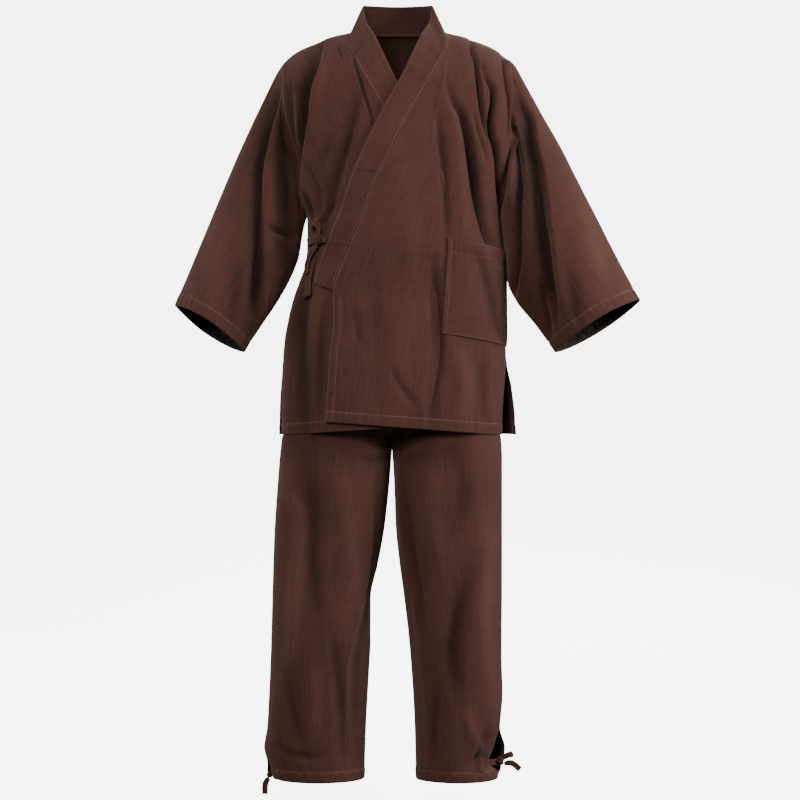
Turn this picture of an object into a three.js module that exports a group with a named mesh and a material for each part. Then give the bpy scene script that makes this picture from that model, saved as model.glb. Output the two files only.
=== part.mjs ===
import * as THREE from "three";

// Driving sizes in mm. The origin lies between the wearer's shoulders at the base of the neck.
const WALL = 1.6;
const BAND_WALL = 3.0;
const BAND_PROUD = 1.1;
const SEAM = 0.3;
const RIDGE_Y = 5;
const LAP_LIFT = 6.6;
const CHEST_POWER = 2.4;
const FRONT_DEPTH = 120;
const BACK_DEPTH = 115;
const NECK_HALF = 88;
const NAPE_RISE = 22;
const NAPE_DROP = 17;
const VIEW_DISTANCE = 4000;
const VIEW_X = 4;
const VIEW_Z = -692;
const LEG_CENTRE_X = -11;
const FORK_TOP_Z = -690;
const FORK_Z = -785;

const BROWN = 0x583830;

function mix(a, b, t) {
  return a + (b - a) * t;
}

function clamp(value, low, high) {
  return Math.min(high, Math.max(low, value));
}

function smooth(from, to, value) {
  const t = clamp((value - from) / (to - from), 0, 1);
  return t * t * (3 - 2 * t);
}

// A table has named columns; the first one is the key, falling or rising.
function table(names, rows) {
  const keys = rows.map((row) => row[0]);
  const rising = keys[keys.length - 1] > keys[0];
  const slope = (c, i) => (rows[i + 1][c] - rows[i][c]) / (keys[i + 1] - keys[i]);
  function tangent(c, i) {
    if (i === 0) {
      return slope(c, 0);
    }
    if (i === rows.length - 1) {
      return slope(c, i - 1);
    }
    const before = slope(c, i - 1);
    const after = slope(c, i);
    if (before * after <= 0) {
      return 0;
    }
    return (2 * before * after) / (before + after);
  }
  return function at(name, key) {
    const c = names.indexOf(name);
    const lowest = Math.min(keys[0], keys[keys.length - 1]);
    const highest = Math.max(keys[0], keys[keys.length - 1]);
    const k = clamp(key, lowest, highest);
    let i = 0;
    while (i < rows.length - 2 && (rising ? k > keys[i + 1] : k < keys[i + 1])) {
      i += 1;
    }
    const h = keys[i + 1] - keys[i];
    const t = (k - keys[i]) / h;
    const a = (1 + 2 * t) * (1 - t) * (1 - t) * rows[i][c];
    const b = t * (1 - t) * (1 - t) * h * tangent(c, i);
    const e = t * t * (3 - 2 * t) * rows[i + 1][c];
    const f = t * t * (t - 1) * h * tangent(c, i + 1);
    return a + b + e + f;
  };
}

// Jacket side line: armhole edge above the underarm, side seam below it.
// "right" is the wearer's right (-X). edge is the depth kept at the armhole, as a share of the chest.
const side = table(["z", "right", "left", "edge"], [
  [-48, -205, 201, 0.5],
  [-90, -212, 208, 0.5],
  [-135, -214, 211, 0.5],
  [-180, -211, 210, 0.49],
  [-225, -203, 206, 0.47],
  [-270, -194, 200, 0.41],
  [-310, -184, 194, 0.3],
  [-335, -176, 191, 0.18],
  [-350, -171, 190, 0],
  [-392, -170, 194, 0],
  [-435, -173, 202, 0],
  [-464, -183, 203, 0],
  [-500, -196, 203, 0],
  [-540, -206, 203, 0],
  [-588, -214, 203, 0],
  [-640, -217, 202, 0],
  [-692, -219, 198, 0],
  [-760, -217, 195, 0],
]);

// The back panel swings clear of the fronts at the side vents.
const ventBack = table(["z", "right", "left"], [
  [-600, 0, 0],
  [-630, 0, 3],
  [-666, -1, 13],
  [-712, -3, 22],
  [-760, -5, 27],
]);

const chest = table(["z", "front", "back"], [
  [0, 0.98, 0.97],
  [-120, 0.99, 1.0],
  [-220, 1.02, 1.05],
  [-360, 1.0, 1.0],
  [-480, 0.98, 0.98],
  [-620, 0.98, 1.03],
  [-760, 0.98, 0.99],
]);

// Shoulder ridge seen from the front, against distance from the middle.
const ridge = table(["x", "z", "round"], [
  [0, NAPE_RISE, 100],
  [44, 16, 102],
  [NECK_HALF, 0, 130],
  [116, -7, 120],
  [149, -19, 105],
  [180, -33, 85],
  [206, -50, 66],
]);

// Left front edge line and band free edge, as read from the front.
const overEdge = table(["z", "seamX", "freeX", "freeZ"], [
  [0, 88, 65, 51],
  [-5, 89, 64, 46],
  [-15, 91, 63, 36],
  [-30, 91, 59, 17],
  [-52, 80, 46, -6],
  [-80, 65, 28, -41],
  [-112, 46, 5, -84],
  [-150, 23, -20, -127],
  [-190, 2, -41, -167],
  [-232, -18, -62, -211],
  [-275, -39, -82, -255],
  [-318, -56, -97, -298],
  [-360, -72, -111, -341],
  [-402, -89, -128, -385],
  [-445, -106, -146, -433],
  [-487, -119, -157, -474],
  [-540, -119, 0, 0],
  [-604, -126, 0, 0],
  [-652, -129, 0, 0],
  [-733, -134, 0, 0],
]);

// Rows of the fronts: height at the inner edge and at the armhole or side seam.
const FRONT_ROWS = [
  [0, -50],
  [-5, -55],
  [-15, -66],
  [-30, -84],
  [-52, -110],
  [-80, -142],
  [-112, -178],
  [-150, -216],
  [-190, -254],
  [-232, -290],
  [-275, -324],
  [-318, -350],
  [-360, -385],
  [-402, -420],
  [-445, -458],
  [-487, -497],
  [-530, -540],
  [-575, -585],
  [-620, -630],
  [-665, -675],
  [-705, -720],
  [-733, -757],
];
const UNDERARM_ROW = 11;
const BAND_END_ROW = 15;
const FRONT_COLUMNS = [0, 0.1, 0.2, 0.3, 0.4, 0.5, 0.6, 0.69, 0.77, 0.845, 0.91, 0.965, 1];

// Large folds of the jacket front: a path read from the front, half width and depth.
const FRONT_FOLDS = [
  { path: [[-150, -60], [-168, -110], [-178, -200], [-186, -290]], width: 15, depth: 9 },
  { path: [[137, -40], [150, -100], [162, -166]], width: 14, depth: 6 },
  { path: [[168, -96], [179, -150], [186, -205], [190, -300]], width: 13, depth: 9 },
  { path: [[115, -150], [140, -290], [160, -365], [180, -410]], width: 18, depth: 5 },
  { path: [[80, -510], [84, -600], [78, -735]], width: 20, depth: 8 },
  { path: [[-80, -160], [-98, -220], [-118, -290]], width: 14, depth: 4 },
];

function shareAcross(x, z, power) {
  const left = side("left", z);
  const right = side("right", z);
  const middle = (left + right) / 2;
  const kept = side("edge", z);
  const reach = Math.pow(1 - Math.pow(kept, power), 1 / power);
  const half = (left - right) / 2 / reach;
  const u = clamp(Math.abs(x - middle) / half, 0, 1);
  return Math.pow(1 - Math.pow(u, power), 1 / power);
}

function crownShare(x, z) {
  const drop = clamp(ridge("z", Math.abs(x)) - z, 0, 1000);
  const round = ridge("round", Math.abs(x));
  if (drop >= round) {
    return 1;
  }
  return Math.sqrt(1 - Math.pow(1 - drop / round, 2));
}

function foldDepth(folds, x, z) {
  let depth = 0;
  for (const fold of folds) {
    let nearest = Infinity;
    let along = 0;
    const count = fold.path.length - 1;
    for (let i = 0; i < count; i += 1) {
      const [ax, az] = fold.path[i];
      const [bx, bz] = fold.path[i + 1];
      const dx = bx - ax;
      const dz = bz - az;
      const t = clamp(((x - ax) * dx + (z - az) * dz) / (dx * dx + dz * dz), 0, 1);
      const far = Math.hypot(x - ax - dx * t, z - az - dz * t);
      if (far < nearest) {
        nearest = far;
        along = (i + t) / count;
      }
    }
    const fade = Math.sqrt(Math.max(0, Math.sin(Math.PI * clamp(along, 0.04, 0.96))));
    depth += fold.depth * fade * Math.exp(-Math.pow(nearest / fold.width, 2));
  }
  return depth;
}

function frontY(x, z) {
  return RIDGE_Y - FRONT_DEPTH * chest("front", z) * shareAcross(x, z, CHEST_POWER) * crownShare(x, z);
}

function backY(x, z) {
  return RIDGE_Y + BACK_DEPTH * chest("back", z) * shareAcross(x, z, CHEST_POWER) * crownShare(x, z);
}

function pointOn(surface, x, z, lift, sign) {
  const y = surface(x, z);
  const step = 2;
  const slopeX = clamp((surface(x + step, z) - surface(x - step, z)) / (2 * step), -1.2, 1.2);
  const slopeZ = clamp((surface(x, z + step) - surface(x, z - step)) / (2 * step), -1.2, 1.2);
  const normal = new THREE.Vector3(-slopeX * sign, sign, -slopeZ * sign).normalize();
  return new THREE.Vector3(x, y, z).addScaledVector(normal, lift);
}

// A point read in the upright plane through the origin, brought to where it lies nearer the viewer.
function seen(x, z, y) {
  const k = (VIEW_DISTANCE + y) / VIEW_DISTANCE;
  return [VIEW_X + (x - VIEW_X) * k, VIEW_Z + (z - VIEW_Z) * k];
}

function seenOnFront(x, z) {
  return seen(x, z, frontY(x, Math.min(z, ridge("z", Math.abs(x)))));
}

// The left front lies over the right one; the gap between them is shared by both.
function overLift(x) {
  return LAP_LIFT * smooth(80, -40, x);
}

function underLift(x) {
  return -LAP_LIFT * smooth(-70, 40, x);
}

function frontPoint(x, z, lift) {
  const fold = foldDepth(FRONT_FOLDS, x, z) * smooth(0.05, 0.5, shareAcross(x, z, CHEST_POWER));
  return pointOn(frontY, x, z, lift - fold, -1);
}

// Grids hold rows of points. Outward directions come from the neighbours of each point.
function gridNormals(rows, ring) {
  const height = rows.length;
  const width = rows[0].length;
  const normals = rows.map((row) => row.map(() => new THREE.Vector3()));
  for (let i = 0; i < height; i += 1) {
    for (let j = 0; j < width; j += 1) {
      const up = rows[Math.max(0, i - 1)][j];
      const down = rows[Math.min(height - 1, i + 1)][j];
      const before = ring ? rows[i][(j + width - 1) % width] : rows[i][Math.max(0, j - 1)];
      const after = ring ? rows[i][(j + 1) % width] : rows[i][Math.min(width - 1, j + 1)];
      const a = new THREE.Vector3().subVectors(down, up);
      const b = new THREE.Vector3().subVectors(after, before);
      normals[i][j].crossVectors(a, b).normalize();
    }
  }
  return normals;
}

function pointAway(normals, rows, centre) {
  const i = Math.floor(rows.length / 2);
  const j = Math.floor(rows[0].length / 2);
  const away = new THREE.Vector3().subVectors(rows[i][j], centre);
  if (normals[i][j].dot(away) < 0) {
    normals.forEach((row) => row.forEach((normal) => normal.negate()));
  }
  return normals;
}

function signedVolume(points, faces) {
  let total = 0;
  for (const [a, b, c] of faces) {
    const cross = new THREE.Vector3().crossVectors(points[b], points[c]);
    total += points[a].dot(cross);
  }
  return total / 6;
}

function solid(name, points, faces) {
  const turned = signedVolume(points, faces) < 0;
  const position = [];
  points.forEach((p) => position.push(p.x, p.y, p.z));
  const index = [];
  faces.forEach(([a, b, c]) => index.push(a, turned ? c : b, turned ? b : c));
  const geometry = new THREE.BufferGeometry();
  geometry.setAttribute("position", new THREE.Float32BufferAttribute(position, 3));
  geometry.setIndex(index);
  geometry.computeVertexNormals();
  const cloth = new THREE.MeshStandardMaterial({ color: BROWN, roughness: 0.92, metalness: 0 });
  cloth.name = "brown_cotton";
  const mesh = new THREE.Mesh(geometry, cloth);
  mesh.name = name;
  return mesh;
}

// A cloth wall: the outer rows, the same rows moved inwards, and a closed rim.
function wall(name, rows, normals, thickness, ring) {
  const height = rows.length;
  const width = rows[0].length;
  const points = [];
  rows.forEach((row) => row.forEach((p) => points.push(p.clone())));
  rows.forEach((row, i) => row.forEach((p, j) => {
    points.push(p.clone().addScaledVector(normals[i][j], -thickness));
  }));
  const shift = height * width;
  const at = (i, j) => i * width + (j % width);
  const faces = [];
  function quad(a, b, c, d) {
    faces.push([a, b, c], [a, c, d]);
  }
  const across = ring ? width : width - 1;
  for (let i = 0; i < height - 1; i += 1) {
    for (let j = 0; j < across; j += 1) {
      quad(at(i, j), at(i + 1, j), at(i + 1, j + 1), at(i, j + 1));
      quad(shift + at(i, j), shift + at(i, j + 1), shift + at(i + 1, j + 1), shift + at(i + 1, j));
    }
  }
  for (let j = 0; j < across; j += 1) {
    quad(at(0, j + 1), shift + at(0, j + 1), shift + at(0, j), at(0, j));
    const last = height - 1;
    quad(at(last, j), shift + at(last, j), shift + at(last, j + 1), at(last, j + 1));
  }
  if (!ring) {
    for (let i = 0; i < height - 1; i += 1) {
      quad(at(i, 0), shift + at(i, 0), shift + at(i + 1, 0), at(i + 1, 0));
      const e = width - 1;
      quad(at(i + 1, e), shift + at(i + 1, e), shift + at(i, e), at(i, e));
    }
  }
  return solid(name, points, faces);
}

function ridgeNormal(x) {
  const step = 3;
  const slope = (ridge("z", Math.abs(x) + step) - ridge("z", Math.max(0, Math.abs(x) - step))) / (2 * step);
  return new THREE.Vector3(-slope * Math.sign(x), 0, 1).normalize();
}

// Outward direction on the armhole ring, away from its middle.
function armholeNormal(point) {
  return new THREE.Vector3(0, (point.y - RIDGE_Y) / 60, (point.z + 200) / 150).normalize();
}

// Fronts

function frontRows(sideName, edgePoint, lift) {
  const top = [];
  FRONT_COLUMNS.forEach((f) => {
    const x0 = edgePoint(0)[0];
    const x1 = side(sideName, FRONT_ROWS[0][1]);
    top.push(mix(x0, x1, f));
  });
  return FRONT_ROWS.map(([, outer], i) => {
    const [ix, iz] = edgePoint(i);
    const ox = side(sideName, outer);
    return FRONT_COLUMNS.map((f, c) => {
      const x = mix(ix, ox, f);
      const bulge = (ridge("z", Math.abs(top[c])) - mix(edgePoint(0)[1], FRONT_ROWS[0][1], f));
      const z = mix(iz, outer, f) + bulge * clamp(1 - i / UNDERARM_ROW, 0, 1);
      if (i === 0) {
        return new THREE.Vector3(x, RIDGE_Y - SEAM / 2, ridge("z", Math.abs(x)));
      }
      if (f === 1 && i >= UNDERARM_ROW) {
        return new THREE.Vector3(x, RIDGE_Y - SEAM / 2, z);
      }
      return frontPoint(x, z, lift(x));
    });
  });
}

function frontNormals(rows) {
  const normals = pointAway(gridNormals(rows, false), rows, new THREE.Vector3(0, 0, -350));
  const edge = rows[0].length - 1;
  rows.forEach((row, i) => {
    const p = row[edge];
    if (i <= UNDERARM_ROW) {
      normals[i][edge] = armholeNormal(p);
    } else {
      normals[i][edge] = new THREE.Vector3(Math.sign(p.x), 0, 0);
    }
  });
  rows[0].forEach((p, j) => {
    normals[0][j] = ridgeNormal(p.x);
  });
  return normals;
}

function overPoint(i) {
  const key = FRONT_ROWS[i][0];
  return i === 0 ? [NECK_HALF, 0] : seenOnFront(overEdge("seamX", key), key);
}

function underPoint(i) {
  const key = FRONT_ROWS[i][0];
  const x = -overEdge("seamX", key);
  return i === 0 ? [-NECK_HALF, 0] : seenOnFront(x, i === FRONT_ROWS.length - 1 ? key - 2 : key);
}

const overRows = frontRows("left", overPoint, overLift);
const underRows = frontRows("right", underPoint, underLift);
const overNormals = frontNormals(overRows);
const underNormals = frontNormals(underRows);

// Back

const BACK_COLUMNS = [88, 112, 134, 154, 171, 186, 196];
const NECK_COLUMNS = [0, 24, 46, 65, 79];

function backColumns() {
  const outer = BACK_COLUMNS.slice().reverse();
  const inner = NECK_COLUMNS.slice().reverse();
  const right = side("right", FRONT_ROWS[0][1]);
  const left = side("left", FRONT_ROWS[0][1]);
  const negative = outer.concat(inner).map((x) => -x);
  const positive = NECK_COLUMNS.slice(1).concat(BACK_COLUMNS);
  return [right].concat(negative, positive, [left]);
}

const backTops = backColumns();

function napeZ(x) {
  const share = clamp(1 - Math.pow(x / NECK_HALF, 2), 0, 1);
  return ridge("z", Math.abs(x)) - NAPE_DROP * share;
}

function backEdge(name, z) {
  return side(name, z) + ventBack(name, z);
}

const backRows = FRONT_ROWS.map(([, outer], i) => backTops.map((topX, c) => {
  const f = (topX - backTops[0]) / (backTops[backTops.length - 1] - backTops[0]);
  const x = mix(backEdge("right", outer), backEdge("left", outer), f);
  const topZ = napeZ(topX);
  const edgeZ = FRONT_ROWS[0][1];
  const z = outer + (topZ - edgeZ) * Math.pow(clamp((outer + 757) / (757 + edgeZ), 0, 1), 1.5);
  const atNeck = Math.abs(topX) < NECK_HALF - 1;
  if (i === 0 && !atNeck) {
    return new THREE.Vector3(topX, RIDGE_Y + SEAM / 2, ridge("z", Math.abs(topX)));
  }
  if ((c === 0 || c === backTops.length - 1) && i >= UNDERARM_ROW) {
    return new THREE.Vector3(x, RIDGE_Y + SEAM / 2, outer);
  }
  const shareZ = z;
  const middle = (side("left", outer) + side("right", outer)) / 2;
  const half = (side("left", outer) - side("right", outer)) / 2;
  const wide = (backEdge("left", outer) - backEdge("right", outer)) / 2;
  const wideMiddle = (backEdge("left", outer) + backEdge("right", outer)) / 2;
  const inX = middle + ((x - wideMiddle) / wide) * half;
  const p = pointOn(backY, inX, shareZ, 0, 1);
  return new THREE.Vector3(x + p.x - inX, p.y, p.z);
}));

function backNormals(rows) {
  const normals = pointAway(gridNormals(rows, false), rows, new THREE.Vector3(0, 0, -350));
  const last = rows[0].length - 1;
  rows.forEach((row, i) => {
    for (const edge of [0, last]) {
      const p = row[edge];
      normals[i][edge] = i <= UNDERARM_ROW ? armholeNormal(p) : new THREE.Vector3(Math.sign(p.x), 0, 0);
    }
  });
  rows[0].forEach((p, j) => {
    if (Math.abs(backTops[j]) > NECK_HALF - 1) {
      normals[0][j] = ridgeNormal(p.x);
    }
  });
  return normals;
}

const backNormalRows = backNormals(backRows);

// Collar band: seam edge, middle and free edge at each station round the neck.


function bandFront(i, mirror, lift) {
  const key = FRONT_ROWS[i][0];
  const sign = mirror ? -1 : 1;
  const seamPoint = (mirror ? underRows : overRows)[i][0].clone();
  const freeX = overEdge("freeX", key) * sign;
  const freeZ = overEdge("freeZ", key);
  const stand = smooth(-95, 45, freeZ);
  const [fx, fz] = seenOnFront(freeX, freeZ);
  const flat = frontPoint(fx, Math.min(fz, 10), lift(fx));
  const standing = new THREE.Vector3(freeX, mix(-92, 6, smooth(-60, 52, freeZ)), freeZ);
  const freePoint = new THREE.Vector3(
    mix(fx, freeX, stand),
    mix(flat.y, standing.y, stand),
    mix(fz, freeZ, stand),
  );
  const middle = new THREE.Vector3().addVectors(seamPoint, freePoint).multiplyScalar(0.5);
  if (freeZ < -60) {
    const onCloth = frontPoint(middle.x, middle.z, lift(middle.x));
    middle.y = mix(onCloth.y, middle.y, smooth(-130, -60, freeZ));
  }
  return [seamPoint, middle, freePoint];
}

function bandNape(column) {
  const seamPoint = backRows[0][column].clone();
  const share = 1 - Math.pow(seamPoint.x / NECK_HALF, 2);
  const freePoint = new THREE.Vector3(seamPoint.x * 0.74, mix(6, 60, share), mix(51, 58, share));
  const middle = new THREE.Vector3().addVectors(seamPoint, freePoint).multiplyScalar(0.5);
  middle.y += 3 * share;
  return [seamPoint, middle, freePoint];
}

function bandRows() {
  const stations = [];
  for (let i = BAND_END_ROW; i >= 0; i -= 1) {
    stations.push(bandFront(i, true, underLift));
  }
  backTops.forEach((x, column) => {
    if (Math.abs(x) < NECK_HALF - 1) {
      stations.push(bandNape(column));
    }
  });
  for (let i = 0; i <= BAND_END_ROW; i += 1) {
    stations.push(bandFront(i, false, overLift));
  }
  return stations;
}

// Panel and band share the outward direction along their seam, so their walls stay apart.
function shareSeam(own, others) {
  others.forEach((other) => own.add(other));
  own.normalize();
  others.forEach((other) => other.copy(own));
}

function buildBand() {
  const rows = bandRows();
  const normals = pointAway(gridNormals(rows, false), rows, new THREE.Vector3(0, 0, 25));
  const columns = backTops.map((x, column) => column);
  const neck = columns.filter((column) => Math.abs(backTops[column]) < NECK_HALF - 1);
  const last = rows.length - 1;
  for (let i = 0; i <= BAND_END_ROW; i += 1) {
    const atCorner = i === 0;
    const under = [underNormals[i][0]];
    const over = [overNormals[i][0]];
    if (atCorner) {
      under.push(backNormalRows[0][neck[0] - 1]);
      over.push(backNormalRows[0][neck[neck.length - 1] + 1]);
    }
    shareSeam(normals[BAND_END_ROW - i][0], under);
    shareSeam(normals[last - BAND_END_ROW + i][0], over);
  }
  neck.forEach((column, k) => {
    shareSeam(normals[BAND_END_ROW + 1 + k][0], [backNormalRows[0][column]]);
  });
  const outer = rows.map((row, i) => row.map((p, j) => {
    const moved = p.clone().addScaledVector(normals[i][j], BAND_PROUD);
    if (j === 0) {
      const before = rows[Math.max(0, i - 1)][0];
      const after = rows[Math.min(last, i + 1)][0];
      const away = new THREE.Vector3().subVectors(after, before).cross(normals[i][0]).normalize();
      const inside = new THREE.Vector3().subVectors(row[2], row[0]);
      moved.addScaledVector(away, Math.sign(away.dot(inside)) * SEAM * 1.2);
    }
    return moved;
  }));
  return wall("collar", outer, normals, BAND_WALL, false);
}

// Sleeves: upper fold line, lower line and depths at each section down the sleeve.

const RIGHT_SLEEVE = [
  { topX: -238.5, topZ: -99, lowX: -177.5, lowZ: -372, front: 62, back: 60, y: 3, rake: 0, lens: 0.52 },
  { topX: -267, topZ: -159, lowX: -181, lowZ: -395, front: 62, back: 60, y: -1, rake: 2, lens: 0.56 },
  { topX: -298, topZ: -228, lowX: -185, lowZ: -421, front: 68, back: 64, y: -7, rake: 4, lens: 0.6 },
  { topX: -330, topZ: -305, lowX: -196.5, lowZ: -455, front: 73, back: 70, y: -14, rake: 6, lens: 0.66 },
  { topX: -362, topZ: -385, lowX: -223, lowZ: -506, front: 75, back: 73, y: -24, rake: 9, lens: 0.72 },
  { topX: -390, topZ: -455, lowX: -256, lowZ: -556, front: 73, back: 73, y: -33, rake: 11, lens: 0.78 },
  { topX: -415, topZ: -516, lowX: -286, lowZ: -603, front: 71, back: 71, y: -40, rake: 13, lens: 0.82 },
];

const LEFT_SLEEVE = [
  { topX: 240, topZ: -98, lowX: 193.4, lowZ: -371, front: 62, back: 60, y: 3, rake: 0, lens: 0.52 },
  { topX: 272, topZ: -157, lowX: 196.8, lowZ: -394, front: 62, back: 60, y: -1, rake: 2, lens: 0.56 },
  { topX: 306, topZ: -218, lowX: 201.7, lowZ: -421, front: 66, back: 64, y: -7, rake: 4, lens: 0.6 },
  { topX: 337, topZ: -281, lowX: 205.1, lowZ: -470, front: 69, back: 68, y: -14, rake: 6, lens: 0.66 },
  { topX: 370, topZ: -348, lowX: 221, lowZ: -507, front: 69, back: 68, y: -24, rake: 9, lens: 0.72 },
  { topX: 410, topZ: -429, lowX: 258, lowZ: -554, front: 67, back: 66, y: -33, rake: 11, lens: 0.78 },
  { topX: 451, topZ: -506, lowX: 293, lowZ: -603, front: 64, back: 64, y: -40, rake: 13, lens: 0.82 },
];

// Sleeve folds: station and place round the ring (0 top, 1 underarm, front side), width and depth.
const RIGHT_SLEEVE_FOLDS = [
  { from: 1, to: 5, place: 0.3, drift: 0.05, width: 0.07, depth: 7 },
  { from: 1.5, to: 4.5, place: 0.55, drift: 0.1, width: 0.07, depth: 6 },
];
const LEFT_SLEEVE_FOLDS = [
  { from: 0.5, to: 6, place: 0.42, drift: 0.12, width: 0.08, depth: 9 },
  { from: 1, to: 5, place: 0.68, drift: 0.05, width: 0.07, depth: 7 },
];

function sleeveFold(folds, station, t) {
  let depth = 0;
  for (const fold of folds) {
    const along = (station - fold.from) / (fold.to - fold.from);
    if (along > 0 && along < 1) {
      const place = fold.place + fold.drift * along;
      const across = (t - place) / fold.width;
      depth += fold.depth * Math.sin(Math.PI * along) * Math.exp(-across * across);
    }
  }
  return depth;
}

function armholeRing(frontGrid, backGrid, column) {
  const ring = [];
  const edge = frontGrid[0].length - 1;
  for (let i = 0; i <= UNDERARM_ROW; i += 1) {
    ring.push({ point: frontGrid[i][edge].clone(), t: i, front: true });
  }
  for (let i = UNDERARM_ROW - 1; i >= 1; i -= 1) {
    ring.push({ point: backGrid[i][column].clone(), t: i, front: false });
  }
  ring.forEach((entry) => {
    const z = FRONT_ROWS[entry.t][1];
    entry.t = (z - FRONT_ROWS[0][1]) / (FRONT_ROWS[UNDERARM_ROW][1] - FRONT_ROWS[0][1]);
  });
  ring[0].point.y = RIDGE_Y;
  ring[UNDERARM_ROW].point.y = RIDGE_Y;
  return ring;
}

function sleeveRows(ring, sections, folds, outward) {
  const rows = [ring.map(({ point }) => {
    const p = point.clone();
    p.x += outward * SEAM;
    return p;
  })];
  sections.forEach((s, k) => {
    const top = new THREE.Vector3(s.topX, s.y, s.topZ);
    const low = new THREE.Vector3(s.lowX, s.y, s.lowZ);
    const chord = new THREE.Vector3().subVectors(low, top).normalize();
    const down = new THREE.Vector3(-chord.z * outward, 0, chord.x * outward);
    rows.push(ring.map(({ t, front }) => {
      const share = Math.pow(4 * t * (1 - t), s.lens);
      const fold = front ? sleeveFold(folds, k + 1, t) : 0;
      const depth = front ? -(s.front * share - fold) : s.back * share;
      const p = new THREE.Vector3().lerpVectors(top, low, t);
      p.y += depth;
      p.addScaledVector(down, (front ? -1 : 1) * s.rake * share);
      return p;
    }));
  });
  return rows;
}

function buildSleeve(name, ring, sections, folds, outward) {
  const rows = sleeveRows(ring, sections, folds, outward);
  const centre = new THREE.Vector3(
    (sections[3].topX + sections[3].lowX) / 2,
    sections[3].y,
    (sections[3].topZ + sections[3].lowZ) / 2,
  );
  const normals = pointAway(gridNormals(rows, true), rows, centre);
  rows[0].forEach((p, j) => {
    normals[0][j] = armholeNormal(p);
  });
  return wall(name, rows, normals, WALL, true);
}

// A patch made from the points of a grid, moved out by a lift.
function onGrid(rows, normals, r, c, lift) {
  const i = clamp(Math.floor(r), 0, rows.length - 2);
  const j = clamp(Math.floor(c), 0, rows[0].length - 2);
  const v = r - i;
  const u = c - j;
  const p = new THREE.Vector3();
  const n = new THREE.Vector3();
  const shares = [
    [i, j, (1 - u) * (1 - v)],
    [i, j + 1, u * (1 - v)],
    [i + 1, j, (1 - u) * v],
    [i + 1, j + 1, u * v],
  ];
  shares.forEach(([a, b, w]) => {
    p.addScaledVector(rows[a][b], w);
    n.addScaledVector(normals[a][b], w);
  });
  return p.addScaledVector(n.normalize(), lift);
}

function columnAt(rows, r, x) {
  const last = rows[0].length - 1;
  for (let c = 0; c < last; c += 1) {
    const a = onGrid(rows, rows, r, c, 0).x;
    const b = onGrid(rows, rows, r, c + 1, 0).x;
    if ((a - x) * (b - x) <= 0) {
      return c + (x - a) / (b - a);
    }
  }
  return last;
}

const POCKET = {
  topRow: [12.45, 12.56],
  bottomRow: [16.74, 17.16],
  startX: [92, 82.5],
  lift: WALL + 1.5,
  steps: 6,
  columns: 7,
};

function buildPocket() {
  const last = FRONT_COLUMNS.length - 1 - 0.14;
  const rows = [];
  for (let i = 0; i < POCKET.steps; i += 1) {
    const f = i / (POCKET.steps - 1);
    const gape = 5 * (1 - smooth(0, 0.4, f));
    const row = [];
    const left = mix(POCKET.topRow[0], POCKET.bottomRow[0], f);
    const start = columnAt(overRows, left, mix(POCKET.startX[0], POCKET.startX[1], f));
    for (let k = 0; k < POCKET.columns; k += 1) {
      const h = k / (POCKET.columns - 1);
      const top = mix(POCKET.topRow[0], POCKET.topRow[1], h);
      const bottom = mix(POCKET.bottomRow[0], POCKET.bottomRow[1], h);
      const belly = gape * Math.sin(Math.PI * h);
      row.push(onGrid(overRows, overNormals, mix(top, bottom, f), mix(start, last, h), POCKET.lift + belly));
    }
    rows.push(row);
  }
  const normals = pointAway(gridNormals(rows, false), rows, new THREE.Vector3(0, 0, -480));
  return wall("pocket", rows, normals, WALL, false);
}

// Narrow flat strips for the ties: a path, the way each point faces, and a width.
function ribbon(name, path, width, thickness) {
  const rows = path.map(({ at, face }, i) => {
    const before = path[Math.max(0, i - 1)].at;
    const after = path[Math.min(path.length - 1, i + 1)].at;
    const tangent = new THREE.Vector3().subVectors(new THREE.Vector3(...after), new THREE.Vector3(...before));
    const across = new THREE.Vector3().crossVectors(tangent, new THREE.Vector3(...face)).normalize();
    const p = new THREE.Vector3(...at);
    return [
      p.clone().addScaledVector(across, -width / 2),
      p.clone().addScaledVector(across, width / 2),
    ];
  });
  const normals = gridNormals(rows, false);
  const facing = new THREE.Vector3(...path[0].face);
  if (normals[0][0].dot(facing) < 0) {
    normals.forEach((row) => row.forEach((normal) => normal.negate()));
  }
  return wall(name, rows, normals, thickness, false);
}

// A drawn-tight knot: a rounded lump.
function knot(name, centre, size) {
  const around = 10;
  const levels = 5;
  const points = [new THREE.Vector3(centre[0], centre[1], centre[2] + size[2])];
  for (let i = 1; i < levels; i += 1) {
    const a = (Math.PI * i) / levels;
    for (let j = 0; j < around; j += 1) {
      const b = (2 * Math.PI * j) / around;
      points.push(new THREE.Vector3(
        centre[0] + size[0] * Math.sin(a) * Math.cos(b),
        centre[1] + size[1] * Math.sin(a) * Math.sin(b),
        centre[2] + size[2] * Math.cos(a),
      ));
    }
  }
  points.push(new THREE.Vector3(centre[0], centre[1], centre[2] - size[2]));
  const faces = [];
  const end = points.length - 1;
  for (let j = 0; j < around; j += 1) {
    const next = (j + 1) % around;
    faces.push([0, 1 + j, 1 + next]);
    const base = 1 + (levels - 2) * around;
    faces.push([end, base + next, base + j]);
    for (let i = 0; i < levels - 2; i += 1) {
      const a = 1 + i * around + j;
      const b = 1 + i * around + next;
      faces.push([a, a + around, b + around], [a, b + around, b]);
    }
  }
  return solid(name, points, faces);
}

// Trousers: hips down to the fork as one body, then two legs.

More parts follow.
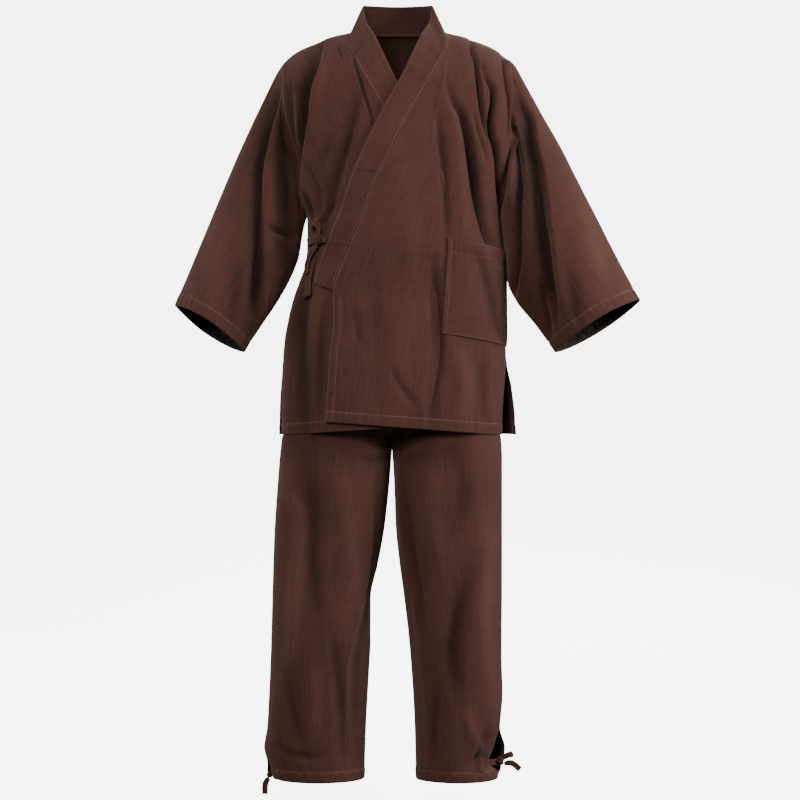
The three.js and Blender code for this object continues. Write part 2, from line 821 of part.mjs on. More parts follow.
const hip = table(["z", "right", "left", "front", "back"], [
  [-400, -150, 132, 96, 98],
  [-480, -172, 154, 98, 102],
  [-560, -190, 172, 100, 106],
  [-640, -203, 183, 98, 106],
  [-700, -208, 186, 95, 102],
  [-742, -210, 188, 90, 98],
  [-760, -211.5, 189.5, 89, 98],
  [-772, -219, 194.5, 91, 98],
  [-800, -222, 196, 93, 98],
  [-850, -226, 196, 92, 96],
  [-940, -232, 196, 86, 90],
  [-1028, -235, 196, 82, 86],
  [-1171, -239, 195, 78, 82],
  [-1243, -242, 197, 77, 80],
  [-1310, -246, 192, 75, 79],
  [-1345, -251, 201, 74, 78],
  [-1375, -245, 196, 73, 77],
  [-1400, -244, 187, 73, 76],
]);

const inseam = table(["z", "right", "left"], [
  [-785, -11, -11],
  [-850, -16, -7],
  [-932, -25, -4],
  [-998, -37, 3],
  [-1066, -51, 12],
  [-1134, -51, 20],
  [-1220, -55, 27],
  [-1292, -59, 31],
  [-1400, -63, 34],
]);

const HIP_ROWS = [-400, -440, -480, -520, -560, -600, -640, -665, -690, -715, -742, -760, -771, -785];
const SHANK_ROWS = [-830, -890, -960, -1030, -1100, -1171, -1243, -1310, -1345, -1372, -1386, -1400];
const LEG_ROWS = HIP_ROWS.concat(SHANK_ROWS);
const LEG_COLUMNS = 11;
const SLIT_TOP_Z = -1310;
const SLIT_HALF = 5;

// How far the front edge of each ankle slit is drawn in towards the inside of the leg.
const slitPull = table(["z", "right", "left"], [
  [-1310, 0, 0],
  [-1345, 0, 25],
  [-1372, 3, 33],
  [-1386, 6, 22],
  [-1400, 11, 5],
]);

const LEG_FOLDS = [
  { side: "right", path: [[-205, -860], [-180, -920], [-196, -1160], [-224, -1255]], width: 18, depth: -7 },
  { side: "right", path: [[-120, -800], [-100, -900], [-95, -1060]], width: 20, depth: 8 },
  { side: "right", path: [[-150, -1100], [-140, -1250], [-150, -1395]], width: 20, depth: 6 },
  { side: "left", path: [[131, -1000], [115, -1100], [103, -1200], [110, -1300]], width: 20, depth: 9 },
  { side: "left", path: [[60, -790], [50, -900], [55, -1010]], width: 18, depth: 7 },
  { side: "left", path: [[160, -800], [150, -900]], width: 20, depth: 5 },
];

function forkShare(z) {
  const s = clamp((FORK_TOP_Z - z) / (FORK_TOP_Z - FORK_Z), 0, 1);
  return 1 - Math.sqrt(1 - s * s);
}

function legRows(sideName, sign) {
  const outward = sideName === "right" ? -1 : 1;
  const folds = LEG_FOLDS.filter((fold) => fold.side === sideName);
  return LEG_ROWS.map((z) => {
    const pull = sign < 0 && z < SLIT_TOP_Z ? slitPull(sideName, z) : 0;
    const outer = hip(sideName, z) - outward * pull;
    const inner = inseam(sideName, z);
    const depth = hip(sign < 0 ? "front" : "back", z);
    const m = forkShare(z);
    const slit = z < SLIT_TOP_Z ? SLIT_HALF * smooth(SLIT_TOP_Z, -1400, z) + 0.35 * pull : 0;
    const row = [];
    for (let c = 0; c <= LEG_COLUMNS; c += 1) {
      const f = c / LEG_COLUMNS;
      const a = (f * Math.PI) / 2;
      const power = 2 / 2.3;
      const hipX = LEG_CENTRE_X + (outer - LEG_CENTRE_X) * Math.pow(Math.cos(a), power);
      const hipY = sign * depth * Math.pow(Math.sin(a), power);
      const b = f * Math.PI;
      const centre = (outer + inner) / 2;
      const half = (outer - inner) / 2;
      const bend = Math.abs(Math.cos(b));
      const legX = centre + half * Math.sign(Math.cos(b)) * Math.pow(bend, 0.92);
      const legY = sign * depth * Math.pow(Math.sin(b), 0.9);
      const x = c === LEG_COLUMNS && m === 0 ? LEG_CENTRE_X : mix(hipX, legX, m);
      let y = mix(hipY, legY, m);
      if (sign < 0) {
        y += foldDepth(folds, x, z) * smooth(10, 50, -y);
      }
      const atOuter = 1 - smooth(0, 0.16, f);
      const inward = c === LEG_COLUMNS ? outward * (SEAM / 2) : 0;
      const shift = c === 0 || c === LEG_COLUMNS ? SEAM / 2 : 0;
      row.push(new THREE.Vector3(x + inward, y + sign * (shift + slit * atOuter), z));
    }
    return row;
  });
}

function buildLeg(name, sideName, sign) {
  const outward = sideName === "right" ? -1 : 1;
  const rows = legRows(sideName, sign);
  const normals = gridNormals(rows, false);
  const probe = normals[3][Math.floor(LEG_COLUMNS / 2)];
  if (probe.y * sign < 0) {
    normals.forEach((row) => row.forEach((normal) => normal.negate()));
  }
  rows.forEach((row, i) => {
    normals[i][0] = new THREE.Vector3(outward, 0, 0);
    const z = LEG_ROWS[i];
    const m = forkShare(z);
    if (z >= FORK_Z) {
      normals[i][LEG_COLUMNS] = new THREE.Vector3(0, sign * (1 - m), -m).normalize();
    } else {
      normals[i][LEG_COLUMNS] = new THREE.Vector3(-outward, 0, 0);
    }
  });
  return wall(name, rows, normals, WALL, false);
}

function buildWaistband() {
  const around = 36;
  const rows = [-364, -399.7].map((z) => {
    const row = [];
    for (let j = 0; j < around; j += 1) {
      const a = (2 * Math.PI * j) / around;
      const right = hip("right", -400);
      const left = hip("left", -400);
      const reach = Math.cos(a) < 0 ? LEG_CENTRE_X - right : left - LEG_CENTRE_X;
      const deep = Math.sin(a) < 0 ? hip("front", -400) : hip("back", -400);
      const power = 2 / 2.3;
      row.push(new THREE.Vector3(
        LEG_CENTRE_X + reach * Math.sign(Math.cos(a)) * Math.pow(Math.abs(Math.cos(a)), power),
        deep * Math.sign(Math.sin(a)) * Math.pow(Math.abs(Math.sin(a)), power),
        z,
      ));
    }
    return row;
  });
  const normals = rows.map((row) => row.map((p) => {
    return new THREE.Vector3(p.x - LEG_CENTRE_X, p.y * 1.4, 0).normalize();
  }));
  return wall("trouser_waistband", rows, normals, BAND_WALL, true);
}

// Ties

function tiePath(points, lift) {
  return points.map(([x, z, extra]) => {
    const [px, pz] = seenOnFront(x, z);
    const p = frontPoint(px, pz, lift + (extra || 0));
    const q = frontPoint(px, pz, lift + (extra || 0) + 5);
    return { at: [p.x, p.y, p.z], face: [q.x - p.x, q.y - p.y, q.z - p.z] };
  });
}

function buildTies() {
  const knotAt = tiePath([[-143.4, -391, 0]], 7.3)[0].at;
  const ankleKnotLeft = [191, -1.9, -1371];
  const ankleKnotRight = [-240.5, -0.9, -1396];
  const bandEnd = [[-130.2, -391.4, 6.9], [-134, -391.2, 7.1], [-137.9, -391, 7.3]];
  const sideEnd = [[-152.4, -390, 3.6], [-159, -392.4, 3.6], [-168, -397, 3.6]];
  const loop = [[-143.6, -380.6, 7.6], [-142, -368, 11], [-147, -357, 12], [-156, -362, 10]];
  const tailFront = [[-146, -401, 7.8], [-156, -417, 9], [-163.5, -441, 10], [-165.5, -458, 9]];
  const tailSide = [[-150.4, -401.2, 3.4], [-156, -424, 4], [-163.5, -460, 5], [-167.5, -498, 5]];
  return [
    ribbon("tie_band_end", tiePath(bandEnd, 0), 11, WALL),
    ribbon("tie_side_end", tiePath(sideEnd, 0), 14, WALL),
    knot("tie_knot", knotAt, [8, 6.5, 10]),
    ribbon("tie_loop", tiePath(loop, 0), 12, WALL),
    ribbon("tie_tail_front", tiePath(tailFront, 0), 12, WALL),
    ribbon("tie_tail_side", tiePath(tailSide, 0), 17, WALL),
    knot("ankle_knot_left", ankleKnotLeft, [8.5, 7, 9]),
    ribbon("ankle_band_left", [
      { at: [167.3, -18.5, -1371], face: [-0.6, -1, 0] },
      { at: [175, -12.5, -1371], face: [-0.6, -1, 0] },
      { at: [184.2, -6.1, -1371], face: [-0.6, -1, 0] },
    ], 11, WALL),
    ribbon("ankle_tail_left_upper", [
      { at: [197, -4.2, -1364.9], face: [0, -1, 0] },
      { at: [206, -8, -1358.6], face: [0, -1, 0] },
      { at: [216, -9, -1355.6], face: [0, -1, 0.2] },
    ], 10.4, WALL),
    ribbon("ankle_tail_left_lower", [
      { at: [199.5, -3.4, -1375], face: [0, -1, 0] },
      { at: [214, -8, -1373.6], face: [0, -1, 0] },
      { at: [229, -10, -1385], face: [0, -1, 0] },
    ], 10.4, WALL),
    knot("ankle_knot_right", ankleKnotRight, [6, 6, 6.5]),
    ribbon("ankle_tail_right", [
      { at: [-243.2, -1.6, -1402], face: [0, -1, 0] },
      { at: [-249, -5, -1414], face: [0, -1, 0] },
      { at: [-250, -5, -1432], face: [0, -1, 0] },
    ], 10.4, WALL),
  ];
}

const group = new THREE.Group();
group.name = "samue_set";
group.add(buildBand());
group.add(wall("jacket_front_left", overRows, overNormals, WALL, false));
group.add(wall("jacket_front_right", underRows, underNormals, WALL, false));
group.add(wall("jacket_back", backRows, backNormalRows, WALL, false));
const rightRing = armholeRing(underRows, backRows, 0);
const leftRing = armholeRing(overRows, backRows, backTops.length - 1);
group.add(buildSleeve("sleeve_right", rightRing, RIGHT_SLEEVE, RIGHT_SLEEVE_FOLDS, -1));
group.add(buildSleeve("sleeve_left", leftRing, LEFT_SLEEVE, LEFT_SLEEVE_FOLDS, 1));
group.add(buildPocket());
group.add(buildWaistband());
group.add(buildLeg("trouser_front_right", "right", -1));
group.add(buildLeg("trouser_front_left", "left", -1));
group.add(buildLeg("trouser_back_right", "right", 1));
group.add(buildLeg("trouser_back_left", "left", 1));
buildTies().forEach((mesh) => group.add(mesh));

export default group;
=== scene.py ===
import math

import bpy
import numpy as np
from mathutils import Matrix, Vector


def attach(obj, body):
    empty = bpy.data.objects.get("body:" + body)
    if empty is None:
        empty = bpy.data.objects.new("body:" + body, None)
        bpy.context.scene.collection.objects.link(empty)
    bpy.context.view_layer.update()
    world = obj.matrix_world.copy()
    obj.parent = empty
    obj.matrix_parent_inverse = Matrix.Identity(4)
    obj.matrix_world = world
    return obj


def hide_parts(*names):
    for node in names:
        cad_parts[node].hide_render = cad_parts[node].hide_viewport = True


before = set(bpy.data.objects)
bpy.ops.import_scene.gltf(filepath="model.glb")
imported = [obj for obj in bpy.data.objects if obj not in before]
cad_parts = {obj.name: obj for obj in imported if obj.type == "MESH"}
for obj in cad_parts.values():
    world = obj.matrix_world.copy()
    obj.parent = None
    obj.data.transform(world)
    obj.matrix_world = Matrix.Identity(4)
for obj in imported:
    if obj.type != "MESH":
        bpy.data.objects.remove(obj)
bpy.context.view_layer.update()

MM = 0.001
WALL = 1.6
BAND_WALL = 3.0
BAND_PROUD = 1.1
SEAM = 0.02
RIDGE_Y = 5.0
LAP_LIFT = 6.6
CHEST_POWER = 2.4
FRONT_DEPTH = 120.0
BACK_DEPTH = 115.0
NECK_HALF = 88.0
NAPE_RISE = 22.0
NAPE_DROP = 17.0
VIEW_DISTANCE = 4000.0
VIEW_X = 4.0
VIEW_Z = -692.0
LEG_CENTRE_X = -11.0
FORK_TOP_Z = -690.0
FORK_Z = -785.0
UNDERARM_ROW = 11
BAND_END_ROW = 15
PANEL_TOP_Z = -50.0
PANEL_HEM_Z = -757.0
BACK_TOP_RIGHT = -207.0
BACK_TOP_LEFT = 203.0
BODY_MIDDLE = (0, 0, -350)
OVAL = 2 / 2.3
HEM = 20
FREE_HEM = 14
FRONT_VENT_HEM = 9
BACK_VENT_HEM = 12
CUFF_HEM = 22
SLIT_HEM = 9
POCKET_HEM = 24
BAND_STITCH = 3.2
POCKET_LIFT = WALL + 1.5
FACING_LIFT = 0.35
FACING_WALL = 0.6
FACING_DEPTH = 26
NOT_HERE = 400
FULL_PAINTED_SHADE_DEPTH = 14
INSIDE_SHADE = 0.3
STITCH_PITCH = 3.6
STITCH_LENGTH = 2.7
STITCH_RADIUS = 0.3
SLIT_TOP_Z = -1310.0
SLIT_HALF = 5.0
WEAVE = 1150.0
COARSE = 1.0

# The two seams across the band, each as a row of the left front and its slant.
CROSS_SEAMS = ((9.72, 0.38), (13.0, 0.3))


class Table:
    """Named columns against a key, joined by smooth curves that never overshoot."""

    def __init__(self, names, rows):
        data = np.array(rows, float)
        if data[-1, 0] < data[0, 0]:
            data = data[::-1]
        self.key = data[:, 0]
        self.columns = {n: data[:, i] for i, n in enumerate(names) if i}
        self.slopes = {}
        step = np.diff(self.key)
        for name, column in self.columns.items():
            rate = np.diff(column) / step
            tangent = np.zeros(len(column))
            tangent[0], tangent[-1] = rate[0], rate[-1]
            same = rate[:-1] * rate[1:] > 0
            both = np.where(same, rate[:-1] + rate[1:], 1.0)
            tangent[1:-1] = np.where(same, 2 * rate[:-1] * rate[1:] / both, 0)
            self.slopes[name] = tangent

    def __call__(self, name, at):
        at = np.clip(np.asarray(at, float), self.key[0], self.key[-1])
        i = np.clip(np.searchsorted(self.key, at, "right") - 1, 0, len(self.key) - 2)
        h = self.key[i + 1] - self.key[i]
        t = (at - self.key[i]) / h
        c, m = self.columns[name], self.slopes[name]
        return (
            (1 + 2 * t) * (1 - t) ** 2 * c[i]
            + t * (1 - t) ** 2 * h * m[i]
            + t * t * (3 - 2 * t) * c[i + 1]
            + t * t * (t - 1) * h * m[i + 1]
        )


side = Table(("z", "right", "left", "edge"), [
    (-48, -205, 201, 0.5),
    (-90, -212, 208, 0.5),
    (-135, -214, 211, 0.5),
    (-180, -211, 210, 0.49),
    (-225, -203, 206, 0.47),
    (-270, -194, 200, 0.41),
    (-310, -184, 194, 0.3),
    (-335, -176, 192.5, 0.18),
    (-350, -171, 193, 0),
    (-392, -170, 196.5, 0),
    (-435, -173, 202, 0),
    (-464, -183, 203, 0),
    (-500, -196, 203, 0),
    (-540, -206, 203, 0),
    (-588, -214, 203, 0),
    (-640, -217, 202, 0),
    (-692, -219, 198, 0),
    (-760, -217, 195, 0),
])
vent_back = Table(("z", "right", "left"), [
    (-600, 0, 0),
    (-630, 0, 3),
    (-666, -1, 13),
    (-712, -3, 22),
    (-760, -5, 27),
])
chest = Table(("z", "front", "back"), [
    (0, 0.98, 0.97),
    (-120, 0.99, 1.0),
    (-220, 1.02, 1.05),
    (-360, 1.0, 1.0),
    (-480, 0.98, 0.98),
    (-620, 0.98, 1.03),
    (-760, 0.98, 0.99),
])
ridge = Table(("x", "z", "round"), [
    (0, NAPE_RISE, 100),
    (44, 16, 102),
    (NECK_HALF, 0, 130),
    (116, -7, 120),
    (149, -19, 105),
    (180, -33, 85),
    (206, -50, 66),
])
over_edge = Table(("z", "seam_x", "free_x", "free_z"), [
    (0, 88, 65, 51),
    (-5, 89, 64, 46),
    (-15, 91, 63, 36),
    (-30, 91, 59, 17),
    (-52, 80, 46, -6),
    (-80, 65, 28, -41),
    (-112, 46, 5, -84),
    (-150, 23, -20, -127),
    (-190, 2, -41, -167),
    (-232, -18, -62, -211),
    (-275, -39, -82, -255),
    (-318, -56, -97, -298),
    (-360, -72, -111, -341),
    (-402, -89, -128, -385),
    (-445, -106, -146, -433),
    (-487, -119, -157, -474),
    (-540, -119, 0, 0),
    (-604, -126, 0, 0),
    (-652, -129, 0, 0),
    (-733, -134, 0, 0),
])
front_rows = Table(("row", "inner", "outer"), [
    (0, 0, -50),
    (1, -5, -55),
    (2, -15, -66),
    (3, -30, -84),
    (4, -52, -110),
    (5, -80, -142),
    (6, -112, -178),
    (7, -150, -216),
    (8, -190, -254),
    (9, -232, -290),
    (10, -275, -324),
    (11, -318, -350),
    (12, -360, -385),
    (13, -402, -420),
    (14, -445, -458),
    (15, -487, -497),
    (16, -530, -540),
    (17, -575, -585),
    (18, -620, -630),
    (19, -665, -675),
    (20, -705, -720),
    (21, -733, -757),
])

# Folds read from the front: path of (x, z) mm, depth, and half width on either side of the path.
# Depth is inwards; a ridge has a negative one. The sides are right and left of the way down.
LEFT_ARMHOLE_FOLD = ([(196, -24), (199, -48), (203, -81), (210, -126), (211, -165), (208, -205)], 10, 3, 4)
BODY_RIGHT_FOLDS = [
    ([(-143, -34), (-153, -62), (-165, -90), (-172, -120), (-176, -163), (-184, -210), (-190, -262),
      (-189, -302), (-180, -342)], 22, 17, 4),
    ([(-128, -34), (-136, -60), (-148, -100), (-156, -150)], -4, 9, 10),
    ([(-113, -26), (-110, -36), (-106, -50)], 6, 4, 3),
    ([(-92, -14), (-88, -32), (-74, -80), (-60, -125), (-45, -176), (-40, -200)], 9, 3, 2.4),
    ([(-203, -80), (-206, -150), (-208, -210), (-205, -270), (-198, -340)], 13, 20, 9),
    ([(-70, -100), (-84, -170), (-97, -222), (-110, -268), (-120, -310), (-130, -356)], 9, 16, 8),
    ([(-172, -240), (-163, -262), (-147, -297), (-147, -345)], 5, 8, 5),
    ([(-175, -300), (-165, -335), (-152, -366)], 8, 7, 5),
    ([(-118, -322), (-136, -350), (-144, -368)], 6, 6, 4),
    ([(-160, -345), (-152, -352), (-143, -350)], -5, 4, 5),
    ([(-159, -362), (-152, -371), (-143, -373)], 6, 4, 4),
    ([(-150, -410), (-150, -470), (-158, -540), (-170, -640)], -5, 14, 14),
    ([(-172, -450), (-180, -560), (-180, -680), (-176, -780)], 13, 22, 22),
    ([(-136, -520), (-142, -600), (-146, -740)], 6, 8, 14),
    ([(-120, -190), (-140, -235), (-150, -262)], 4, 9, 9),
]
BODY_LEFT_FOLDS = [
    ([(136, -12), (138, -36), (146, -56), (150, -88), (154, -126), (159, -160), (165, -196)], 12, 2.8, 5.5),
    ([(158, -66), (167, -90), (176, -106), (178.6, -126), (176, -146), (173.5, -163), (173.5, -181),
      (176, -199), (181, -214), (186, -243), (188, -275), (190, -301), (194, -345)], 18, 3, 7),
    LEFT_ARMHOLE_FOLD,
    ([(94, -108), (103, -135), (116, -156), (126, -186), (133, -221), (139, -262), (144, -295), (151, -331),
      (161, -368), (171, -398), (186, -436)], 17, 5, 10),
    ([(140, -146), (146, -169), (150, -186), (161, -221), (168, -246)], 3, 3, 3),
    ([(70, -140), (75, -171), (78, -207), (83, -240), (84, -270), (88, -312), (90, -363),
      (93, -410)], 6, 6, 9),
    ([(92, -110), (110, -190), (117, -260), (123, -330), (125, -385)], -3, 10, 10),
    ([(126, -400), (140, -429), (154, -466), (166, -504), (174, -541), (180, -590)], 5, 8, 14),
    ([(66, -430), (69, -506), (71, -560), (70, -620), (62, -680), (62, -750)], 11, 9, 13),
    ([(116, -590), (125, -660), (120, -745)], -5, 16, 16),
    ([(160, -600), (158, -680), (164, -750)], 6, 12, 10),
    ([(-83, -515), (-77, -556), (-71, -588)], 3.5, 5, 9),
    ([(-14, -630), (4, -668), (34, -705)], 4, 6, 10),
    ([(30, -230), (24, -330), (30, -430)], -2.5, 25, 25),
    ([(-50, -440), (-40, -560), (-46, -700)], 3, 16, 22),
    ([(10, -520), (16, -600), (4, -700)], -2.5, 20, 20),
    ([(94, -18), (83, -96), (73, -138), (66, -180), (60, -225)], -1.6, 2.2, 4),
    ([(140, -22), (176, -36)], -2, 8, 8),
]
SLEEVE_RIGHT_FOLDS = [
    ([(-222, -90), (-233, -137), (-241, -165), (-248, -194), (-252, -222), (-256, -250), (-257, -316),
      (-258, -391), (-258, -466), (-263, -504), (-270, -560)], 20, 20, 4),
    ([(-203, -80), (-206, -150), (-208, -210), (-206, -270), (-204, -340), (-206, -400),
      (-213, -470)], 16, 27, 12),
    ([(-234, -160), (-236, -230), (-238, -310), (-238, -350)], -2, 6, 6),
    ([(-246, -360), (-238, -370), (-222, -376), (-194, -386)], 5, 5, 8),
    ([(-262, -400), (-262, -460), (-268, -530)], 8, 10, 12),
    ([(-246, -478), (-250, -510), (-256, -545)], -5, 4, 5),
    ([(-330, -330), (-340, -400), (-352, -480), (-360, -530)], -5, 20, 20),
    ([(-300, -420), (-310, -500), (-318, -560)], 6, 14, 14),
]
SLEEVE_LEFT_FOLDS = [
    LEFT_ARMHOLE_FOLD,
    ([(226, -100), (238, -137), (252, -165), (254, -194), (258, -222), (265, -250), (269, -278), (274, -316),
      (277, -353), (282, -391), (286, -429), (290, -466), (300, -530)], 26, 25, 5),
    ([(205, -85), (207, -109), (210, -165), (222, -194), (226, -222), (229, -250), (229, -278), (227, -316),
      (226, -353), (226, -391), (226, -429), (222, -466), (218, -505)], 23, 6, 4),
    ([(238, -150), (241, -222), (246, -316), (248, -391)], -3, 4, 4),
    ([(212, -210), (212, -270), (210, -330)], -5, 6, 6),
    ([(276, -500), (288, -540), (300, -576)], -5, 6, 6),
    ([(262, -470), (280, -530), (288, -580)], 8, 6, 7),
    ([(318, -440), (330, -500), (338, -556)], 6, 12, 14),
    ([(330, -300), (352, -370), (372, -440), (388, -510)], -5, 20, 20),
]
LEG_RIGHT_FOLDS = [
    ([(-206, -790), (-205, -860), (-184, -920), (-194, -1060), (-200, -1160), (-226, -1256)], -8, 14, 12),
    ([(-168, -800), (-158, -900), (-160, -1020), (-150, -1120)], 8, 20, 14),
    ([(-52, -850), (-49, -966), (-64, -1072), (-94, -1196), (-98, -1390)], -2.4, 3, 4),
    ([(-38, -850), (-36, -950), (-52, -1072), (-78, -1196), (-80, -1380)], 6, 9, 7),
    ([(-112, -820), (-100, -930), (-96, -1040), (-106, -1130)], -4, 18, 18),
    ([(-124, -1120), (-116, -1200), (-108, -1290), (-104, -1380)], 6, 10, 12),
    ([(-212, -1190), (-196, -1280), (-180, -1352)], 6, 10, 14),
    ([(-160, -1180), (-158, -1280), (-166, -1350)], -5, 14, 14),
    ([(-205, -1352), (-170, -1364), (-135, -1358)], 4, 8, 6),
    ([(-228, -1330), (-214, -1352), (-196, -1362)], 4, 6, 6),
    ([(-14, -800), (-40, -806), (-84, -800)], 3, 6, 8),
]
LEG_LEFT_FOLDS = [
    ([(136, -990), (124, -1040), (106, -1110), (100, -1180), (112, -1260)], 10, 16, 20),
    ([(165, -880), (168, -980), (160, -1120), (172, -1260)], -5, 16, 18),
    ([(-2, -850), (6, -930), (24, -1045), (40, -1160), (52, -1290), (54, -1392)], -2.4, 4, 3),
    ([(14, -860), (24, -950), (40, -1050), (54, -1150)], 6, 7, 10),
    ([(66, -800), (62, -900), (78, -1000)], -4, 18, 18),
    ([(112, -800), (120, -860), (110, -930)], 4, 14, 14),
    ([(78, -1230), (70, -1300), (66, -1385)], 6, 10, 10),
    ([(176, -1300), (158, -1340), (150, -1390)], 6, 8, 10),
    ([(188, -1366), (160, -1362), (128, -1376)], 6, 6, 8),
    ([(186, -1374), (166, -1384), (140, -1390)], 5, 5, 6),
    ([(160, -1330), (157, -1360), (158, -1383), (168, -1388)], -4, 4, 4),
    ([(168, -1387), (150, -1390), (134, -1392)], 4, 3, 5),
    ([(130, -1270), (140, -1320), (162, -1352)], -5, 12, 12),
    ([(-6, -800), (20, -808), (50, -800)], 3, 6, 8),
]
BACK_FOLDS = [
    ([(-150, -62), (-172, -130), (-180, -210), (-176, -320)], 13, 10, 14),
    ([(150, -60), (172, -130), (184, -210), (186, -320)], 13, 14, 10),
    ([(-120, -120), (-132, -240), (-128, -380)], 7, 16, 16),
    ([(118, -110), (132, -240), (134, -390)], 7, 16, 16),
    ([(-40, -40), (-60, -150), (-64, -300)], 4, 22, 22),
    ([(44, -40), (56, -160), (70, -300)], 4, 22, 22),
    ([(-90, -420), (-104, -560), (-96, -740)], 8, 20, 16),
    ([(96, -410), (108, -560), (112, -740)], 8, 16, 20),
    ([(-20, -380), (-30, -520), (-24, -730)], 5, 22, 22),
    ([(40, -420), (50, -560), (44, -740)], -5, 22, 22),
    ([(-160, -400), (-176, -520), (-184, -700)], -5, 16, 16),
    ([(158, -380), (176, -500), (178, -620)], 6, 12, 12),
]
LEG_BACK_FOLDS = [
    ([(-120, -800), (-130, -900), (-120, -1010), (-136, -1150)], 9, 16, 16),
    ([(-190, -860), (-186, -1000), (-200, -1140)], -6, 16, 16),
    ([(-70, -860), (-84, -960), (-104, -1010)], 6, 10, 12),
    ([(-170, -1010), (-130, -1030), (-90, -1016)], 5, 9, 12),
    ([(-150, -1180), (-140, -1280), (-150, -1390)], 7, 14, 14),
    ([(-200, -1250), (-196, -1330), (-206, -1390)], 4, 10, 10),
    ([(100, -800), (112, -900), (100, -1010), (112, -1150)], 9, 16, 16),
    ([(166, -860), (160, -1000), (168, -1140)], -6, 16, 16),
    ([(40, -860), (56, -960), (70, -1010)], 6, 12, 10),
    ([(60, -1016), (104, -1034), (150, -1010)], 5, 9, 12),
    ([(120, -1180), (110, -1280), (118, -1390)], 7, 14, 14),
    ([(170, -1250), (166, -1330), (172, -1390)], 4, 10, 10),
]


def mix(a, b, t):
    return a + (b - a) * t


def smooth(start, end, value):
    t = np.clip((np.asarray(value, float) - start) / (end - start), 0, 1)
    return t * t * (3 - 2 * t)


def rounded(path, steps=6):
    """The path with its corners rounded off."""
    p = np.array(path, float)
    if len(p) < 3:
        return p
    ends = np.vstack([2 * p[0] - p[1], p, 2 * p[-1] - p[-2]])
    out = []
    for i in range(1, len(ends) - 2):
        a, b, c, d = ends[i - 1:i + 3]
        for t in np.linspace(0, 1, steps, endpoint=False):
            out.append(0.5 * (2 * b + (c - a) * t + (2 * a - 5 * b + 4 * c - d) * t * t
                              + (3 * b - a - 3 * c + d) * t ** 3))
    out.append(p[-1])
    return np.array(out)


def running_length(points):
    return np.concatenate([[0], np.cumsum(np.linalg.norm(np.diff(points, axis=0), axis=1))])


def read_at(at, length, values):
    return np.stack([np.interp(at, length, values[:, k]) for k in range(3)], -1)


def even_out(grid, times):
    for _ in range(times):
        grid[1:-1] = 0.25 * grid[:-2] + 0.5 * grid[1:-1] + 0.25 * grid[2:]


def seen(x, z, y):
    """A point read in the upright plane through the origin, brought to where it lies nearer the viewer."""
    k = (VIEW_DISTANCE + y) / VIEW_DISTANCE
    return VIEW_X + (x - VIEW_X) * k, VIEW_Z + (z - VIEW_Z) * k


def as_seen(x, y, z):
    """Where a point in space is seen, in the plane that the folds were read in."""
    k = (VIEW_DISTANCE + y) / VIEW_DISTANCE
    return VIEW_X + (x - VIEW_X) / k, VIEW_Z + (z - VIEW_Z) / k


def fold_field(folds, x, z):
    """How far the folds push the cloth in at each (x, z), as it is seen from the front."""
    total = np.zeros(np.broadcast(x, z).shape)
    for path, depth, wide_right, wide_left in folds:
        p = rounded(path)
        nearest = np.full(total.shape, np.inf)
        along = np.zeros(total.shape)
        turn = np.zeros(total.shape)
        lengths = np.linalg.norm(np.diff(p, axis=0), axis=1)
        starts = np.concatenate([[0], np.cumsum(lengths)])
        for (ax, az), (bx, bz), far, length in zip(p[:-1], p[1:], starts, lengths):
            dx, dz = bx - ax, bz - az
            t = np.clip(((x - ax) * dx + (z - az) * dz) / length ** 2, 0, 1)
            ox, oz = x - ax - dx * t, z - az - dz * t
            d = np.hypot(ox, oz)
            closer = d < nearest
            nearest = np.where(closer, d, nearest)
            along = np.where(closer, (far + length * t) / starts[-1], along)
            turn = np.where(closer, dx * oz - dz * ox, turn)
        width = np.where(turn > 0, wide_left, wide_right)
        fade = np.sin(np.pi * np.clip(along, 0.03, 0.97)) ** 0.6
        total += depth * fade * np.exp(-((nearest / width) ** 2))
    return total


def ripple(x, z, seed, size, height):
    """Soft unevenness of worn cloth: a few crossing waves about size mm long."""
    rng = np.random.default_rng(seed)
    total = np.zeros(np.broadcast(x, z).shape)
    for _ in range(9):
        angle = rng.normal(0, 0.5)
        length = size * rng.uniform(0.6, 1.7)
        k = 2 * math.pi / length
        phase = rng.uniform(0, 2 * math.pi)
        total += np.sin(k * (x * math.cos(angle) + z * math.sin(angle) * 0.45) + phase)
    return total * height / 3


def share_across(x, z):
    left, right = side("left", z), side("right", z)
    reach = (1 - side("edge", z) ** CHEST_POWER) ** (1 / CHEST_POWER)
    half = (left - right) / 2 / reach
    u = np.clip(np.abs(x - (left + right) / 2) / half, 0, 1)
    return (1 - u ** CHEST_POWER) ** (1 / CHEST_POWER)


def crown_share(x, z):
    drop = np.clip(ridge("z", np.abs(x)) - z, 0, None)
    left = np.clip(1 - drop / ridge("round", np.abs(x)), 0, 1)
    return np.sqrt(1 - left ** 2)


def front_y(x, z):
    return RIDGE_Y - FRONT_DEPTH * chest("front", z) * share_across(x, z) * crown_share(x, z)


def back_y(x, z):
    return RIDGE_Y + BACK_DEPTH * chest("back", z) * share_across(x, z) * crown_share(x, z)


def stack(x, y, z):
    return np.stack(np.broadcast_arrays(x, y, z), -1).astype(float)


def unit(v):
    return v / np.maximum(np.linalg.norm(v, axis=-1, keepdims=True), 1e-9)


def on_surface(surface, x, z, lift, sign):
    step = 2.0
    slope_x = np.clip((surface(x + step, z) - surface(x - step, z)) / (2 * step), -1.2, 1.2)
    slope_z = np.clip((surface(x, z + step) - surface(x, z - step)) / (2 * step), -1.2, 1.2)
    normal = unit(stack(-slope_x * sign, sign, -slope_z * sign))
    return stack(x, surface(x, z), z) + normal * np.asarray(lift)[..., None]


def seen_on_front(x, z):
    return seen(x, z, front_y(x, np.minimum(z, ridge("z", np.abs(x)))))


def over_lift(x):
    return LAP_LIFT * (1 - smooth(-40, 80, x))


def under_lift(x):
    return -LAP_LIFT * smooth(-70, 40, x)


